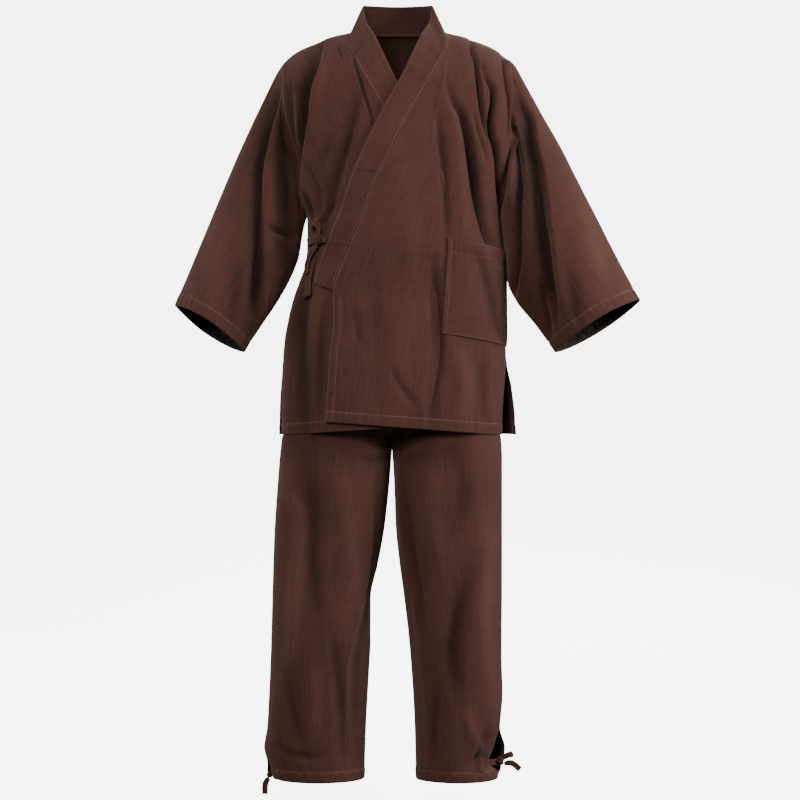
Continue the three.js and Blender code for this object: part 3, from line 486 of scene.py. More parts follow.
def front_point(x, z, lift, folds, fine=1.0):
    sx, sz = as_seen(x, front_y(x, z), z)
    fade = smooth(0.05, 0.5, share_across(x, z)) * smooth(0.02, 0.3, crown_share(x, z))
    deep = fold_field(folds, sx, sz) * fade
    soft = ripple(sx, sz, 11, 70, 0.9) * fade * fine
    return on_surface(front_y, x, z, lift - deep + soft, -1), deep * fine


# Painted shade from fold depth: the cloth is coloured darker the deeper a fold sinks in, fully dark at the
# set depth; ridges come out paler, a painted highlight.
def fold_painted_shade(deep):
    return np.clip(deep / FULL_PAINTED_SHADE_DEPTH, -0.6, 1)


def grid_normals(p, ring=False):
    if ring:
        across = np.roll(p, -1, 1) - np.roll(p, 1, 1)
    else:
        across = np.gradient(p, axis=1)
    return unit(np.cross(np.gradient(p, axis=0), across))


def turned(normals, agreement):
    return -normals if agreement < 0 else normals


def outward(normals, p, centre):
    return turned(normals, np.sum(normals * (p - np.asarray(centre, float))))


def hole_normals(q):
    """Which way the cloth faces along the armhole."""
    return stack(0 * q[:, 0], (q[:, 1] - RIDGE_Y) / 60, (q[:, 2] + 200) / 150)


def cloth_mesh(name, p, normals, wall, shade, ring=False):
    """A sheet of cloth: the outer grid p in mm, thickened inwards along its normals, rim closed."""
    rows, columns = p.shape[:2]
    inner = p - normals * wall
    points = np.concatenate([p.reshape(-1, 3), inner.reshape(-1, 3)]) * MM
    index = np.arange(rows * columns).reshape(rows, columns)
    if ring:
        index = np.concatenate([index, index[:, :1]], 1)
    outer = np.stack([index[:-1, :-1], index[1:, :-1], index[1:, 1:], index[:-1, 1:]], -1).reshape(-1, 4)
    face = np.cross(p[1, 0] - p[0, 0], p[0, 1] - p[0, 0])
    flip = np.dot(face, normals[0, 0] + normals[1, 1]) < 0
    if flip:
        outer = outer[:, ::-1]
    shift = rows * columns
    quads = [outer, outer[:, ::-1] + shift]
    rims = [(index[0, :-1], index[0, 1:]), (index[-1, 1:], index[-1, :-1])]
    if not ring:
        rims += [(index[1:, 0], index[:-1, 0]), (index[:-1, -1], index[1:, -1])]
    for s, e in rims:
        rim = np.stack([s, e, e + shift, s + shift], -1)
        quads.append(rim[:, ::-1] if flip else rim)
    quads = np.concatenate(quads)
    mesh = bpy.data.meshes.new(name)
    mesh.vertices.add(len(points))
    mesh.vertices.foreach_set("co", points.astype(np.float32).ravel())
    mesh.loops.add(quads.size)
    mesh.loops.foreach_set("vertex_index", quads.astype(np.int32).ravel())
    mesh.polygons.add(len(quads))
    mesh.polygons.foreach_set("loop_start", np.arange(0, quads.size, 4, dtype=np.int32))
    mesh.polygons.foreach_set("loop_total", np.full(len(quads), 4, np.int32))
    mesh.update(calc_edges=True)
    mesh.validate()
    across = np.linalg.norm(np.diff(p, axis=1), axis=2).mean(0)
    down = np.linalg.norm(np.diff(p, axis=0), axis=2).mean(1)
    u = np.concatenate([[0], np.cumsum(across)])
    v = -np.concatenate([[0], np.cumsum(down)])
    flat = np.stack(np.meshgrid(u, v), -1)
    spots = np.concatenate([flat.reshape(-1, 2)] * 2) * MM
    layer = mesh.uv_layers.new(name="cloth")
    corners = np.empty(len(mesh.loops), np.int32)
    mesh.loops.foreach_get("vertex_index", corners)
    layer.data.foreach_set("uv", spots[corners].astype(np.float32).ravel())
    # The stored tone is painted shade: darker in folds, hollows and under the jacket hem, paler on fold
    # ridges and along hem and stitch lines.
    shade_and_seam_tone = mesh.attributes.new("shade_and_seam_tone", "FLOAT", "POINT")
    # Inside faces are coloured darker by INSIDE_SHADE: painted shade of the garment's inside.
    inside = shade.ravel() + INSIDE_SHADE
    shade_and_seam_tone.data.foreach_set("value", np.concatenate([shade.ravel(), inside]).astype(np.float32))
    mesh.polygons.foreach_set("use_smooth", np.ones(len(mesh.polygons), bool))
    mesh.update()
    ob = bpy.data.objects.new(name, mesh)
    bpy.context.scene.collection.objects.link(ob)
    return ob


def grid_count(length, pitch):
    return max(4, int(round(length / (pitch * COARSE))))


def near_edge(distance, width):
    return np.exp(-((distance / width) ** 2))


def edge_distances(p):
    """Distance along the cloth from each grid point to the four edges, in mm."""
    across = np.linalg.norm(np.diff(p, axis=1), axis=2)
    down = np.linalg.norm(np.diff(p, axis=0), axis=2)
    left = np.concatenate([np.zeros((p.shape[0], 1)), np.cumsum(across, 1)], 1)
    top = np.concatenate([np.zeros((1, p.shape[1])), np.cumsum(down, 0)], 0)
    return top, top[-1:] - top, left, left[:, -1:] - left


def hemmed(p, normals, far, along, seed, width=HEM, lift=0.7, pucker=0.5):
    """A turned hem: thicker near the edge, a stitched groove, and the small puckers of its seam."""
    raised = lift * (1 - smooth(width - 1.5, width + 1.5, far))
    groove = -0.9 * near_edge(far - width, 1.6)
    rng = np.random.default_rng(seed)
    waves = sum(np.sin(along * 2 * math.pi / rng.uniform(11, 26) + rng.uniform(0, 6)) for _ in range(4))
    puckers = pucker * 0.5 * waves * near_edge(far - width * 0.8, width * 0.7)
    return p + normals * (raised + groove + puckers)[..., None]


def crossing_edge(sign, row, tuck=0.0):
    """The cross-over edge of a front at the given rows: x, z, and how far it has left the neck point."""
    inner_z = front_rows("inner", row)
    ix, iz = seen_on_front(over_edge("seam_x", inner_z) * sign, inner_z - tuck * smooth(20, 21, row))
    first = smooth(0, 0.6, row)
    return mix(NECK_HALF * sign, ix, first), mix(0.0, iz, first), first


def panel_rows(count):
    """Heights down the outer edge of a panel, and the row of the front that each one is on."""
    outer_z = np.linspace(PANEL_TOP_Z, PANEL_HEM_Z, count)[:, None]
    return outer_z, np.interp(-outer_z, -front_rows.columns["outer"], front_rows.key)


def front_panel(side_name, folds, lift, hem_seed):
    sign = 1 if side_name == "left" else -1
    outer_z, row = panel_rows(grid_count(740, 2.6))
    ix, iz, _ = crossing_edge(sign, row, 2.0 if sign < 0 else 0.0)
    f = 1 - (1 - np.linspace(0, 1, grid_count(330, 2.5))[None, :]) ** 1.35
    x = mix(ix, side(side_name, outer_z), f)
    top_x = mix(NECK_HALF * sign, side(side_name, PANEL_TOP_Z), f)
    bulge = ridge("z", np.abs(top_x)) - mix(0.0, PANEL_TOP_Z, f)
    z = mix(iz, outer_z, f) + bulge * np.clip(1 - row / UNDERARM_ROW, 0, 1)
    z[0] = ridge("z", np.abs(x[0]))
    p, deep = front_point(x, z, lift(x), folds)
    p[0] = stack(x[0], RIDGE_Y - SEAM / 2, z[0])
    below = row[:, 0] >= UNDERARM_ROW
    p[below, -1] = stack(x[below, -1], RIDGE_Y - SEAM / 2, z[below, -1])
    normals = outward(grid_normals(p), p, BODY_MIDDLE)
    normals[:, -1] = np.where(below[:, None], (sign, 0, 0), hole_normals(p[:, -1]))
    normals = unit(normals)
    normals[0] = (0, 0, 1)
    _, hem, inner, _ = edge_distances(p)
    p = hemmed(p, normals, hem, inner, hem_seed)
    free = inner + NOT_HERE * (row < BAND_END_ROW + 0.2)
    p = hemmed(p, normals, free, -z, hem_seed + 1, width=FREE_HEM, pucker=0.3)
    shade_and_seam_tone = fold_painted_shade(deep)
    shade_and_seam_tone -= 0.5 * near_edge(hem - HEM, 1.6) + 0.45 * near_edge(free - FREE_HEM, 1.6)
    shade_and_seam_tone -= 0.5 * near_edge(inner, 1.2)
    return p, normals, shade_and_seam_tone, row[:, 0]


def back_panel():
    outer_z, row = panel_rows(grid_count(750, 4.2))
    c = np.linspace(-1, 1, grid_count(430, 4.0))
    c = np.sin(c * math.pi / 2) * 0.45 + c * 0.55
    top_x = mix(BACK_TOP_RIGHT, BACK_TOP_LEFT, (c + 1) / 2)[None, :]
    top_x = np.where(top_x < 0, top_x * side("right", PANEL_TOP_Z) / BACK_TOP_RIGHT,
                     top_x * side("left", PANEL_TOP_Z) / BACK_TOP_LEFT)
    f = (top_x - top_x[0, 0]) / (top_x[0, -1] - top_x[0, 0])
    right, left = side("right", outer_z), side("left", outer_z)
    x = mix(right + vent_back("right", outer_z), left + vent_back("left", outer_z), f)
    share = np.clip(1 - (top_x / NECK_HALF) ** 2, 0, 1)
    top_z = ridge("z", np.abs(top_x)) - NAPE_DROP * share
    fall = np.clip((outer_z - PANEL_HEM_Z) / (PANEL_TOP_Z - PANEL_HEM_Z), 0, 1)
    z = outer_z + (top_z - PANEL_TOP_Z) * fall ** 1.5
    in_x = mix(right, left, f)
    fade = smooth(0.05, 0.5, share_across(in_x, z)) * smooth(0.02, 0.4, crown_share(in_x, z))
    fade = fade * smooth(0, 30, top_z - z + 2)
    deep = fold_field(BACK_FOLDS, in_x, z) * fade
    soft = ripple(in_x, z, 23, 80, 1.1) * fade
    p = on_surface(back_y, in_x, z, soft - deep, 1)
    p[..., 0] += x - in_x
    at_ridge = np.abs(top_x[0]) > NECK_HALF
    p[0, at_ridge] = stack(top_x[0], RIDGE_Y + SEAM / 2, ridge("z", np.abs(top_x[0])))[at_ridge]
    below = row[:, 0] >= UNDERARM_ROW
    for e in (0, -1):
        p[below, e] = stack(x[below, e], RIDGE_Y + SEAM / 2, outer_z[below, 0])
    normals = outward(grid_normals(p), p, BODY_MIDDLE)
    for e, sign in ((0, -1), (-1, 1)):
        normals[:, e] = np.where(below[:, None], (sign, 0, 0), unit(hole_normals(p[:, e])))
    normals[0, at_ridge] = (0, 0, 1)
    _, hem, a, b = edge_distances(p)
    p = hemmed(p, normals, hem, a, 51)
    vent = np.minimum(a, b) + NOT_HERE * (outer_z > -620)
    p = hemmed(p, normals, vent, -z, 52, width=BACK_VENT_HEM, pucker=0.2)
    return p, normals, fold_painted_shade(deep) - 0.5 * near_edge(hem - HEM, 1.6), top_x[0], row[:, 0]


def band_line(sign, rows, lift, folds):
    """Seam edge and free edge of the band at the given rows of a front."""
    inner_z = front_rows("inner", rows)
    ix, iz, first = crossing_edge(sign, rows)
    z_cap = np.minimum(iz, ridge("z", np.abs(ix)))
    seam = front_point(ix, z_cap, lift(ix), folds)[0]
    seam = np.where(first[:, None] < 1, mix(stack(ix, RIDGE_Y, iz), seam, first[:, None]), seam)
    free_x, free_z = over_edge("free_x", inner_z) * sign, over_edge("free_z", inner_z)
    stand = smooth(-95, 45, free_z)
    fx, fz = seen_on_front(free_x, free_z)
    flat = front_point(fx, np.minimum(fz, 10), lift(fx), folds)[0]
    standing = mix(-92.0, 6.0, smooth(-60, 52, free_z))
    free = stack(mix(fx, free_x, stand), mix(flat[:, 1], standing, stand), mix(fz, free_z, stand))
    return seam, free, free_z


def collar_band(back, back_x):
    n_front = grid_count(600, 3.4)
    rows = np.linspace(BAND_END_ROW, 0, n_front)
    under = band_line(-1, rows, under_lift, BODY_RIGHT_FOLDS)
    over = band_line(1, rows[::-1], over_lift, BODY_LEFT_FOLDS)
    at_neck = np.abs(back_x) < NECK_HALF - 3
    nape = back[0, at_neck] - (0, 0, 2.5)
    share = 1 - (nape[:, 0] / NECK_HALF) ** 2
    nape_free = stack(nape[:, 0] * 0.74, mix(6.0, 60.0, share), mix(51.0, 58.0, share))
    seam = np.concatenate([under[0], nape, over[0]])
    free = np.concatenate([under[1], nape_free, over[1]])
    tall = np.concatenate([under[2], np.full(len(nape), 60.0), over[2]])
    bulge = np.concatenate([0 * under[2], 3 * share, 0 * over[2]])
    for line in (seam, free):
        even_out(line, 3)
    n_across = grid_count(56, 3.2) + 1
    t = np.linspace(0, 1, n_across)
    p = mix(seam[:, None], free[:, None], t[None, :, None])
    p[..., 1] += bulge[:, None] * np.sin(math.pi * t)
    for i in np.nonzero(tall < -60)[0]:
        lift, folds = (under_lift, BODY_RIGHT_FOLDS) if i < n_front else (over_lift, BODY_LEFT_FOLDS)
        on_front = front_point(p[i, :, 0], p[i, :, 2], lift(p[i, :, 0]), folds)[0][:, 1]
        p[i, :, 1] = mix(on_front, p[i, :, 1], smooth(-130, -60, tall[i]))
    normals = outward(grid_normals(p), p, (0, 0, 25))
    width = np.linalg.norm(free - seam, axis=1)
    from_seam = t[None, :] * width[:, None]
    from_free = (1 - t[None, :]) * width[:, None]
    soft = ripple(running_length(p[:, -1])[:, None], from_seam * 2.0, 31, 60, 0.5)
    edge_soft = -0.9 * near_edge(from_free, 2.2) - 0.5 * near_edge(from_seam, 1.6)
    groove = -0.5 * near_edge(from_seam - BAND_STITCH, 0.9)
    p = p + normals * (BAND_PROUD + soft + edge_soft + groove)[..., None]
    shade_and_seam_tone = 0.25 * near_edge(from_seam, 1.5) - 0.55 * near_edge(from_seam - BAND_STITCH, 1.2)
    shade_and_seam_tone = shade_and_seam_tone - 0.25 * near_edge(from_free, 2.0)
    down_over = np.concatenate([0 * rows - 9, np.full(len(nape), -9), rows[::-1]])[:, None]
    for seam_row, rise in CROSS_SEAMS:
        off = (down_over - seam_row - rise * t[None, :]) * 42
        p = p + normals * (0.5 * near_edge(off + 4, 3.0) - 0.9 * near_edge(off, 1.8))[..., None]
        shade_and_seam_tone = shade_and_seam_tone + 0.5 * near_edge(off, 1.8) - 0.25 * near_edge(off + 4, 2.4)
    return p, normals, shade_and_seam_tone


sleeve_names = ("k", "top_x", "top_z", "low_x", "low_z", "front", "back", "y", "rake", "lens")
right_sleeve = Table(sleeve_names, [
    (1, -238.5, -99, -177.5, -372, 62, 60, 3, 0, 0.52),
    (2, -267, -159, -181, -395, 62, 60, -1, 2, 0.56),
    (3, -298, -228, -185, -421, 68, 64, -7, 4, 0.6),
    (4, -330, -305, -196.5, -455, 73, 70, -14, 6, 0.66),
    (5, -362, -385, -223, -506, 75, 73, -24, 9, 0.72),
    (6, -390, -455, -256, -556, 73, 73, -33, 11, 0.78),
    (7, -415, -516, -286, -603, 71, 71, -40, 13, 0.82),
])
left_sleeve = Table(sleeve_names, [
    (1, 240, -98, 192, -371, 62, 60, 3, 0, 0.52),
    (2, 272, -157, 195, -394, 62, 60, -1, 2, 0.56),
    (3, 306, -218, 200, -421, 66, 64, -7, 4, 0.6),
    (4, 337, -281, 205.1, -470, 69, 68, -14, 6, 0.66),
    (5, 370, -348, 221, -507, 69, 68, -24, 9, 0.72),
    (6, 410, -429, 258, -554, 67, 66, -33, 11, 0.78),
    (7, 451, -506, 293, -603, 64, 64, -40, 13, 0.82),
])


def resample(points, values, count):
    length = running_length(points)
    return read_at(np.linspace(0, length[-1], count), length, values)


def sleeve(front_edge, back_edge, sections, folds, way, seed):
    """Rings from the armhole to the cuff, each one a front arc and a back arc between two fold lines."""
    half = grid_count(300, 3.0)

    def round_hole(which):
        front = resample(front_edge[0], front_edge[which], half + 1)
        back = resample(back_edge[0], back_edge[which], half + 1)[::-1]
        return np.concatenate([front, back[1:-1]])

    first, leaving = round_hole(0), unit(round_hole(1))
    first[0, 1] = first[half, 1] = RIDGE_Y
    phi = np.linspace(0, math.pi, half + 1)
    t = (1 - np.cos(phi)) / 2
    t = 0.75 * t + 0.25 * phi / math.pi
    t = np.concatenate([t, t[1:-1][::-1]])
    is_front = np.arange(len(t)) <= half
    n_down = grid_count(480, 3.6)
    k = np.linspace(0, 7, n_down + 1)[1:]
    s = {n: sections(n, np.maximum(k, 1))[:, None] for n in sleeve_names[1:]}
    share = np.maximum(4 * t * (1 - t), 0)[None, :] ** s["lens"]
    depth = np.where(is_front, -s["front"], s["back"]) * share
    x, z = mix(s["top_x"], s["low_x"], t[None, :]), mix(s["top_z"], s["low_z"], t[None, :])
    chord = np.hypot(s["low_x"] - s["top_x"], s["low_z"] - s["top_z"])
    cx, cz = (s["low_x"] - s["top_x"]) / chord, (s["low_z"] - s["top_z"]) / chord
    slide = np.where(is_front, -1, 1) * s["rake"] * share
    p = stack(x - cz * way * slide, s["y"] + depth, z + cx * way * slide)
    start = first + np.array([SEAM * way, 0, 0])
    one = np.argmax(k >= 1)
    ring_one, onward = p[one], (p[one + 2] - p[one]) / (k[one + 2] - k[one])
    gap = np.linalg.norm(ring_one - start, axis=1, keepdims=True)
    leaving = leaving * gap * 0.9 * (1 - smooth(0.62, 0.9, t))[:, None]
    onward = onward * 0.8
    for i in np.nonzero(k < 1)[0]:
        e = k[i] / k[one]
        p[i] = ((1 + 2 * e) * (1 - e) ** 2 * start + e * (1 - e) ** 2 * leaving
                + e * e * (3 - 2 * e) * ring_one + e * e * (e - 1) * onward)
    p = np.concatenate([start[None], p])
    k = np.concatenate([[0], k])[:, None]
    normals = outward(grid_normals(p, True), p, p.mean((0, 1)))
    fade = smooth(0, 0.45, k) * smooth(0.0, 0.10, t * (1 - t) * 4)[None, :]
    sx, sz = as_seen(*np.moveaxis(p, -1, 0))
    deep_front = fold_field(folds, sx, sz)
    mirrored = [(path, depth * 0.8, b, a) for path, depth, a, b in folds[::2]]
    deep_back = fold_field(mirrored, sx + 8 * way, sz - 14)
    deep = np.where(is_front[None, :], deep_front, deep_back) * fade
    soft = ripple(sx, sz, seed, 75, 1.2) * fade
    from_seam = edge_distances(p)[0]
    low_front = smooth(0.5, 0.75, t) * (1 - smooth(0.9, 0.985, t)) * is_front
    deep = deep + 9 * smooth(0, 10, from_seam) * near_edge(from_seam, 22) * low_front
    p = p + normals * (soft - deep)[..., None]
    normals = outward(grid_normals(p, True), p, p.mean((0, 1)))
    normals[0] = unit(hole_normals(p[0]))
    from_cuff = edge_distances(p)[1]
    along = np.cumsum(np.linalg.norm(np.roll(p, -1, 1) - p, axis=2), 1)
    p = hemmed(p, normals, from_cuff, along, seed + 5, width=CUFF_HEM, pucker=0.7)
    return p, normals, fold_painted_shade(deep) - 0.55 * near_edge(from_cuff - CUFF_HEM, 1.6)


hip = Table(("z", "right", "left", "front", "back"), [
    (-400, -150, 132, 96, 98),
    (-480, -172, 154, 98, 102),
    (-560, -190, 172, 100, 106),
    (-640, -203, 183, 98, 106),
    (-700, -208, 186, 95, 102),
    (-742, -210, 188, 90, 98),
    (-753, -211.5, 189, 89.5, 98),
    (-760, -217.5, 193.6, 89.5, 98),
    (-772, -219, 194.6, 91, 98),
    (-800, -222, 196, 93, 98),
    (-850, -226, 196, 92, 96),
    (-940, -232, 196, 86, 90),
    (-1028, -235, 196, 82, 86),
    (-1171, -239, 195, 78, 82),
    (-1243, -242, 197, 77, 80),
    (-1310, -246, 192, 75, 79),
    (-1345, -251, 201, 74, 78),
    (-1375, -245, 196, 73, 77),
    (-1400, -244, 187, 73, 76),
])
inseam = Table(("z", "right", "left"), [
    (-785, -11, -11),
    (-850, -16, -7),
    (-932, -25, -4),
    (-998, -37, 3),
    (-1066, -51, 12),
    (-1134, -51, 20),
    (-1220, -55, 27),
    (-1292, -59, 31),
    (-1400, -63, 34),
])
slit_pull = Table(("z", "right", "left"), [
    (-1310, 0, 0),
    (-1322, 0, 9),
    (-1338, 0, 19.5),
    (-1355, 1, 26),
    (-1372, 3, 28),
    (-1381, 5, 15),
    (-1390, 8, 4),
    (-1400, 11, 0),
])


def leg_panel(side_name, sign, folds, seed):
    way = -1 if side_name == "right" else 1
    n_rows, n_columns = grid_count(1000, 4.8), grid_count(290, 4.2)
    z = np.linspace(-400, -1400, n_rows)[:, None]
    f = np.linspace(0, 1, n_columns)[None, :]
    pull = slit_pull(side_name, z) * (z < SLIT_TOP_Z) * (sign < 0)
    outer, inner = hip(side_name, z) - way * pull, inseam(side_name, z)
    depth = hip("front" if sign < 0 else "back", z)
    s = np.clip((FORK_TOP_Z - z) / (FORK_TOP_Z - FORK_Z), 0, 1)
    m = 1 - np.sqrt(1 - s * s)
    a, b = f * math.pi / 2, f * math.pi
    hip_x = LEG_CENTRE_X + (outer - LEG_CENTRE_X) * np.clip(np.cos(a), 0, 1) ** OVAL
    hip_y = sign * depth * np.sin(a) ** OVAL
    bend = np.cos(b)
    leg_x = (outer + inner) / 2 + (outer - inner) / 2 * np.sign(bend) * np.abs(bend) ** 0.92
    leg_y = sign * depth * np.clip(np.sin(b), 0, 1) ** 0.9
    part = mix(s * s * (3 - 2 * s), m, smooth(0.55, 0.95, f))
    x, y = mix(hip_x, leg_x, part), mix(hip_y, leg_y, part)
    slit = np.where(z < SLIT_TOP_Z, SLIT_HALF * smooth(-SLIT_TOP_Z, 1400, -z) + 0.35 * pull, 0)
    y = y + sign * slit * (1 - smooth(0, 0.16, f))
    y[:, 0] += sign * SEAM / 2
    y[:, -1] += sign * SEAM / 2
    x[:, -1] += way * SEAM / 2
    z = z + 0 * x
    p = stack(x, y, z)

    def facing_out(p):
        normals = grid_normals(p)
        return turned(normals, normals[3, n_columns // 2, 1] * sign)

    sx, sz = as_seen(x, y, z)
    near = smooth(4, 40, np.abs(y)) * smooth(700, 790, -z)
    deep = fold_field(folds, sx, sz) * near
    soft = ripple(sx, sz * 0.7, seed, 80, 1.3) * near
    p = p + facing_out(p) * (soft - deep)[..., None]
    normals = facing_out(p)
    normals[:, 0] = (way, 0, 0)
    upper = z[:, 0] >= FORK_Z
    seam_normal = unit(stack(0 * m[:, 0], sign * (1 - m[:, 0]), -m[:, 0]))
    normals[:, -1] = np.where(upper[:, None], seam_normal, (-way, 0, 0))
    _, hem, out_d, in_d = edge_distances(p)
    p = hemmed(p, normals, hem, out_d, seed + 3, pucker=0.6)
    slit_edge = out_d + NOT_HERE * (z > SLIT_TOP_Z)
    p = hemmed(p, normals, slit_edge, -z, seed + 4, width=SLIT_HEM, pucker=0.2, lift=0.5)
    shade_and_seam_tone = fold_painted_shade(deep) - 0.5 * near_edge(hem - HEM, 1.6) - 0.4 * near_edge(in_d, 1.3)
    shade_and_seam_tone -= 0.4 * near_edge(slit_edge - SLIT_HEM, 1.4)
    # Painted shadow of the jacket hem across the top of the trouser fronts, fading out downwards and towards
    # the left leg's outer side.
    if sign < 0:
        shade_and_seam_tone += 0.5 * (1 - smooth(762, 838, -z)) * (1 - smooth(90, 150, x))
    return p, normals, shade_and_seam_tone


SCENE = bpy.context.scene
SENSOR = 36.0
PICTURE_WIDTH = 1504.0
camera_data = bpy.data.cameras.new("view")
camera_data.sensor_width = SENSOR
camera_data.lens = SENSOR * VIEW_DISTANCE / PICTURE_WIDTH
camera_data.clip_end = 60.0
camera = bpy.data.objects.new("view", camera_data)
camera.location = (VIEW_X * MM, -VIEW_DISTANCE * MM, VIEW_Z * MM)
camera.rotation_euler = (math.pi / 2, 0, 0)
SCENE.collection.objects.link(camera)
SCENE.camera = camera


def area_light(name, place, target, power, size, colour):
    data = bpy.data.lights.new(name, "AREA")
    data.shape = "RECTANGLE"
    data.size, data.size_y = size
    data.energy = power
    data.color = colour
    ob = bpy.data.objects.new(name, data)
    ob.location = place
    ob.rotation_mode = "QUATERNION"
    ob.rotation_quaternion = (Vector(target) - Vector(place)).to_track_quat("-Z", "Y")
    ob.visible_camera = False
    SCENE.collection.objects.link(ob)


NEUTRAL, WARM, COOL = (1, 1, 1), (1.0, 0.99, 0.975), (0.985, 0.99, 1.0)
for light in (
    ("front_box", (-0.7, -2.7, 0.75), (0, 0, -0.4), 71, (1.2, 1.2), NEUTRAL),
    ("right_box", (2.4, -1.4, 0.5), (0, 0, -0.5), 56, (0.9, 1.2), WARM),
    ("right_low_box", (2.6, -0.6, -0.9), (0.1, 0, -0.9), 52, (0.8, 1.4), WARM),
    ("left_box", (-2.6, -0.6, -0.7), (0, 0, -0.7), 27, (0.8, 1.8), COOL),
    ("top_box", (0.0, -0.6, 2.4), (0, 0, -0.5), 19, (1.6, 1.2), NEUTRAL),
    ("back_box", (0.8, 3.2, 0.9), (0, 0, -0.6), 160, (1.4, 1.8), NEUTRAL),
):
    area_light(*light)


def put(node, **values):
    """Sets input sockets of a node, each named with _ for a blank."""
    for key, value in values.items():
        node.inputs[key.replace("_", " ")].default_value = value
    return node


def add(tree, kind, **values):
    node = tree.nodes.new(kind)
    for key, value in values.items():
        setattr(node, key, value)
    return node


def nodes_of(name):
    mat = bpy.data.materials.new(name)
    mat.use_nodes = True
    return mat, mat.node_tree, mat.node_tree.nodes["Principled BSDF"]


world = bpy.data.worlds.new("studio")
world.use_nodes = True
put(world.node_tree.nodes["Background"], Color=(0.95, 0.96, 0.98, 1), Strength=0.02)
SCENE.world = world


def backdrop():
    """A pale floor that curves up into a wall far behind."""
    floor_z, reach, wall_y, bend = -1.447, 7.0, 5.0, 2.0
    profile = [(-9.0, floor_z)]
    for i in range(13):
        a = math.pi / 2 * i / 12
        profile.append((wall_y - bend + bend * math.sin(a), floor_z + bend * (1 - math.cos(a))))
    profile.append((wall_y, 6.0))
    verts = [(x, y, z) for y, z in profile for x in (-reach, reach)]
    faces = [(2 * i, 2 * i + 1, 2 * i + 3, 2 * i + 2) for i in range(len(profile) - 1)]
    mesh = bpy.data.meshes.new("backdrop")
    mesh.from_pydata(verts, [], faces)
    for polygon in mesh.polygons:
        polygon.use_smooth = True
    ob = bpy.data.objects.new("backdrop", mesh)
    ob.visible_diffuse = False
    ob.visible_glossy = False
    SCENE.collection.objects.link(ob)
    mat, _, shader = nodes_of("paper")
    put(shader, Base_Color=(0.9, 0.9, 0.9, 1), Roughness=0.9)
    put(shader, Emission_Color=(1, 1, 1, 1), Emission_Strength=5.5)
    mesh.materials.append(mat)


backdrop()


def cotton(name, base, light, dark, slub=1.0, warp_scale=(420, 14, 1), weft_scale=(16, 380, 1)):
    """Plain-woven cotton: slubby yarns both ways, uneven dye, a soft nap, and painted shade: darker where the
    stored tone value is high.
    """
    mat, tree, shader = nodes_of(name)
    link = tree.links.new
    uv = add(tree, "ShaderNodeUVMap", uv_map="cloth")

    def streaks(scale, detail, seed):
        place = put(add(tree, "ShaderNodeMapping"), Scale=scale, Location=(seed, seed * 0.37, seed * 0.11))
        link(uv.outputs["UV"], place.inputs["Vector"])
        noise = put(add(tree, "ShaderNodeTexNoise"), Scale=1.0, Detail=detail, Roughness=0.6)
        link(place.outputs["Vector"], noise.inputs["Vector"])
        return noise.outputs["Fac"]

    def math_node(kind, a, b):
        node = add(tree, "ShaderNodeMath", operation=kind)
        for socket, value in zip(node.inputs, (a, b)):
            if isinstance(value, (int, float)):
                socket.default_value = value
            else:
                link(value, socket)
        return node.outputs["Value"]

    warp = streaks(warp_scale, 3, 1.3)
    weft = streaks(weft_scale, 3, 5.1)
    cloud = streaks((9, 7, 1), 4, 8.7)
    grain = streaks((900, 900, 1), 2, 3.9)

    def centred(value, weight):
        return math_node("MULTIPLY", math_node("SUBTRACT", value, 0.5), weight)

    mixed = centred(warp, 0.62 * slub)
    for value, weight in ((weft, 0.22 * slub), (cloud, 0.4), (grain, 0.35)):
        mixed = math_node("ADD", mixed, centred(value, weight))
    # Painted shade: the stored tone darkens the colour in folds, hollows, inside faces and under the jacket
    # hem, and makes it paler on fold ridges, a painted highlight, and along hem and stitch lines.
    shade_and_seam_tone = add(tree, "ShaderNodeAttribute", attribute_name="shade_and_seam_tone", attribute_type="GEOMETRY")
    mixed = math_node("SUBTRACT", mixed, math_node("MULTIPLY", shade_and_seam_tone.outputs["Fac"], 0.5))
    level = put(add(tree, "ShaderNodeMapRange"), From_Min=-0.5, From_Max=0.5)
    link(mixed, level.inputs["Value"])
    ramp = add(tree, "ShaderNodeValToRGB")
    ramp.color_ramp.elements[0].color = (*dark, 1)
    ramp.color_ramp.elements[1].color = (*light, 1)
    middle = ramp.color_ramp.elements.new(0.5)
    middle.color = (*base, 1)
    link(level.outputs["Result"], ramp.inputs["Fac"])
    link(ramp.outputs["Color"], shader.inputs["Base Color"])

    def threads(direction):
        wave = add(tree, "ShaderNodeTexWave", wave_type="BANDS", bands_direction=direction)
        put(wave, Scale=WEAVE / 3.2, Distortion=1.4, Detail=1.0, Detail_Scale=0.6)
        link(uv.outputs["UV"], wave.inputs["Vector"])
        return wave.outputs["Fac"]

    height = math_node("MULTIPLY", threads("X"), 0.5)
    for value, weight in ((threads("Y"), 0.5), (warp, 0.9), (weft, 0.5)):
        height = math_node("ADD", height, math_node("MULTIPLY", value, weight))
    bump = put(add(tree, "ShaderNodeBump"), Strength=0.55, Distance=0.0005)
    link(height, bump.inputs["Height"])
    link(bump.outputs["Normal"], shader.inputs["Normal"])
    rough = put(add(tree, "ShaderNodeMapRange"), To_Min=0.82, To_Max=0.97)
    link(warp, rough.inputs["Value"])
    link(rough.outputs["Result"], shader.inputs["Roughness"])
    put(shader, Specular_IOR_Level=0.22, Sheen_Weight=0.22, Sheen_Roughness=0.45,
        Sheen_Tint=(0.75, 0.52, 0.45, 1))
    return mat


brown = cotton("brown_cotton", (0.070, 0.0245, 0.0180), (0.120, 0.047, 0.035), (0.016, 0.0050, 0.0040))
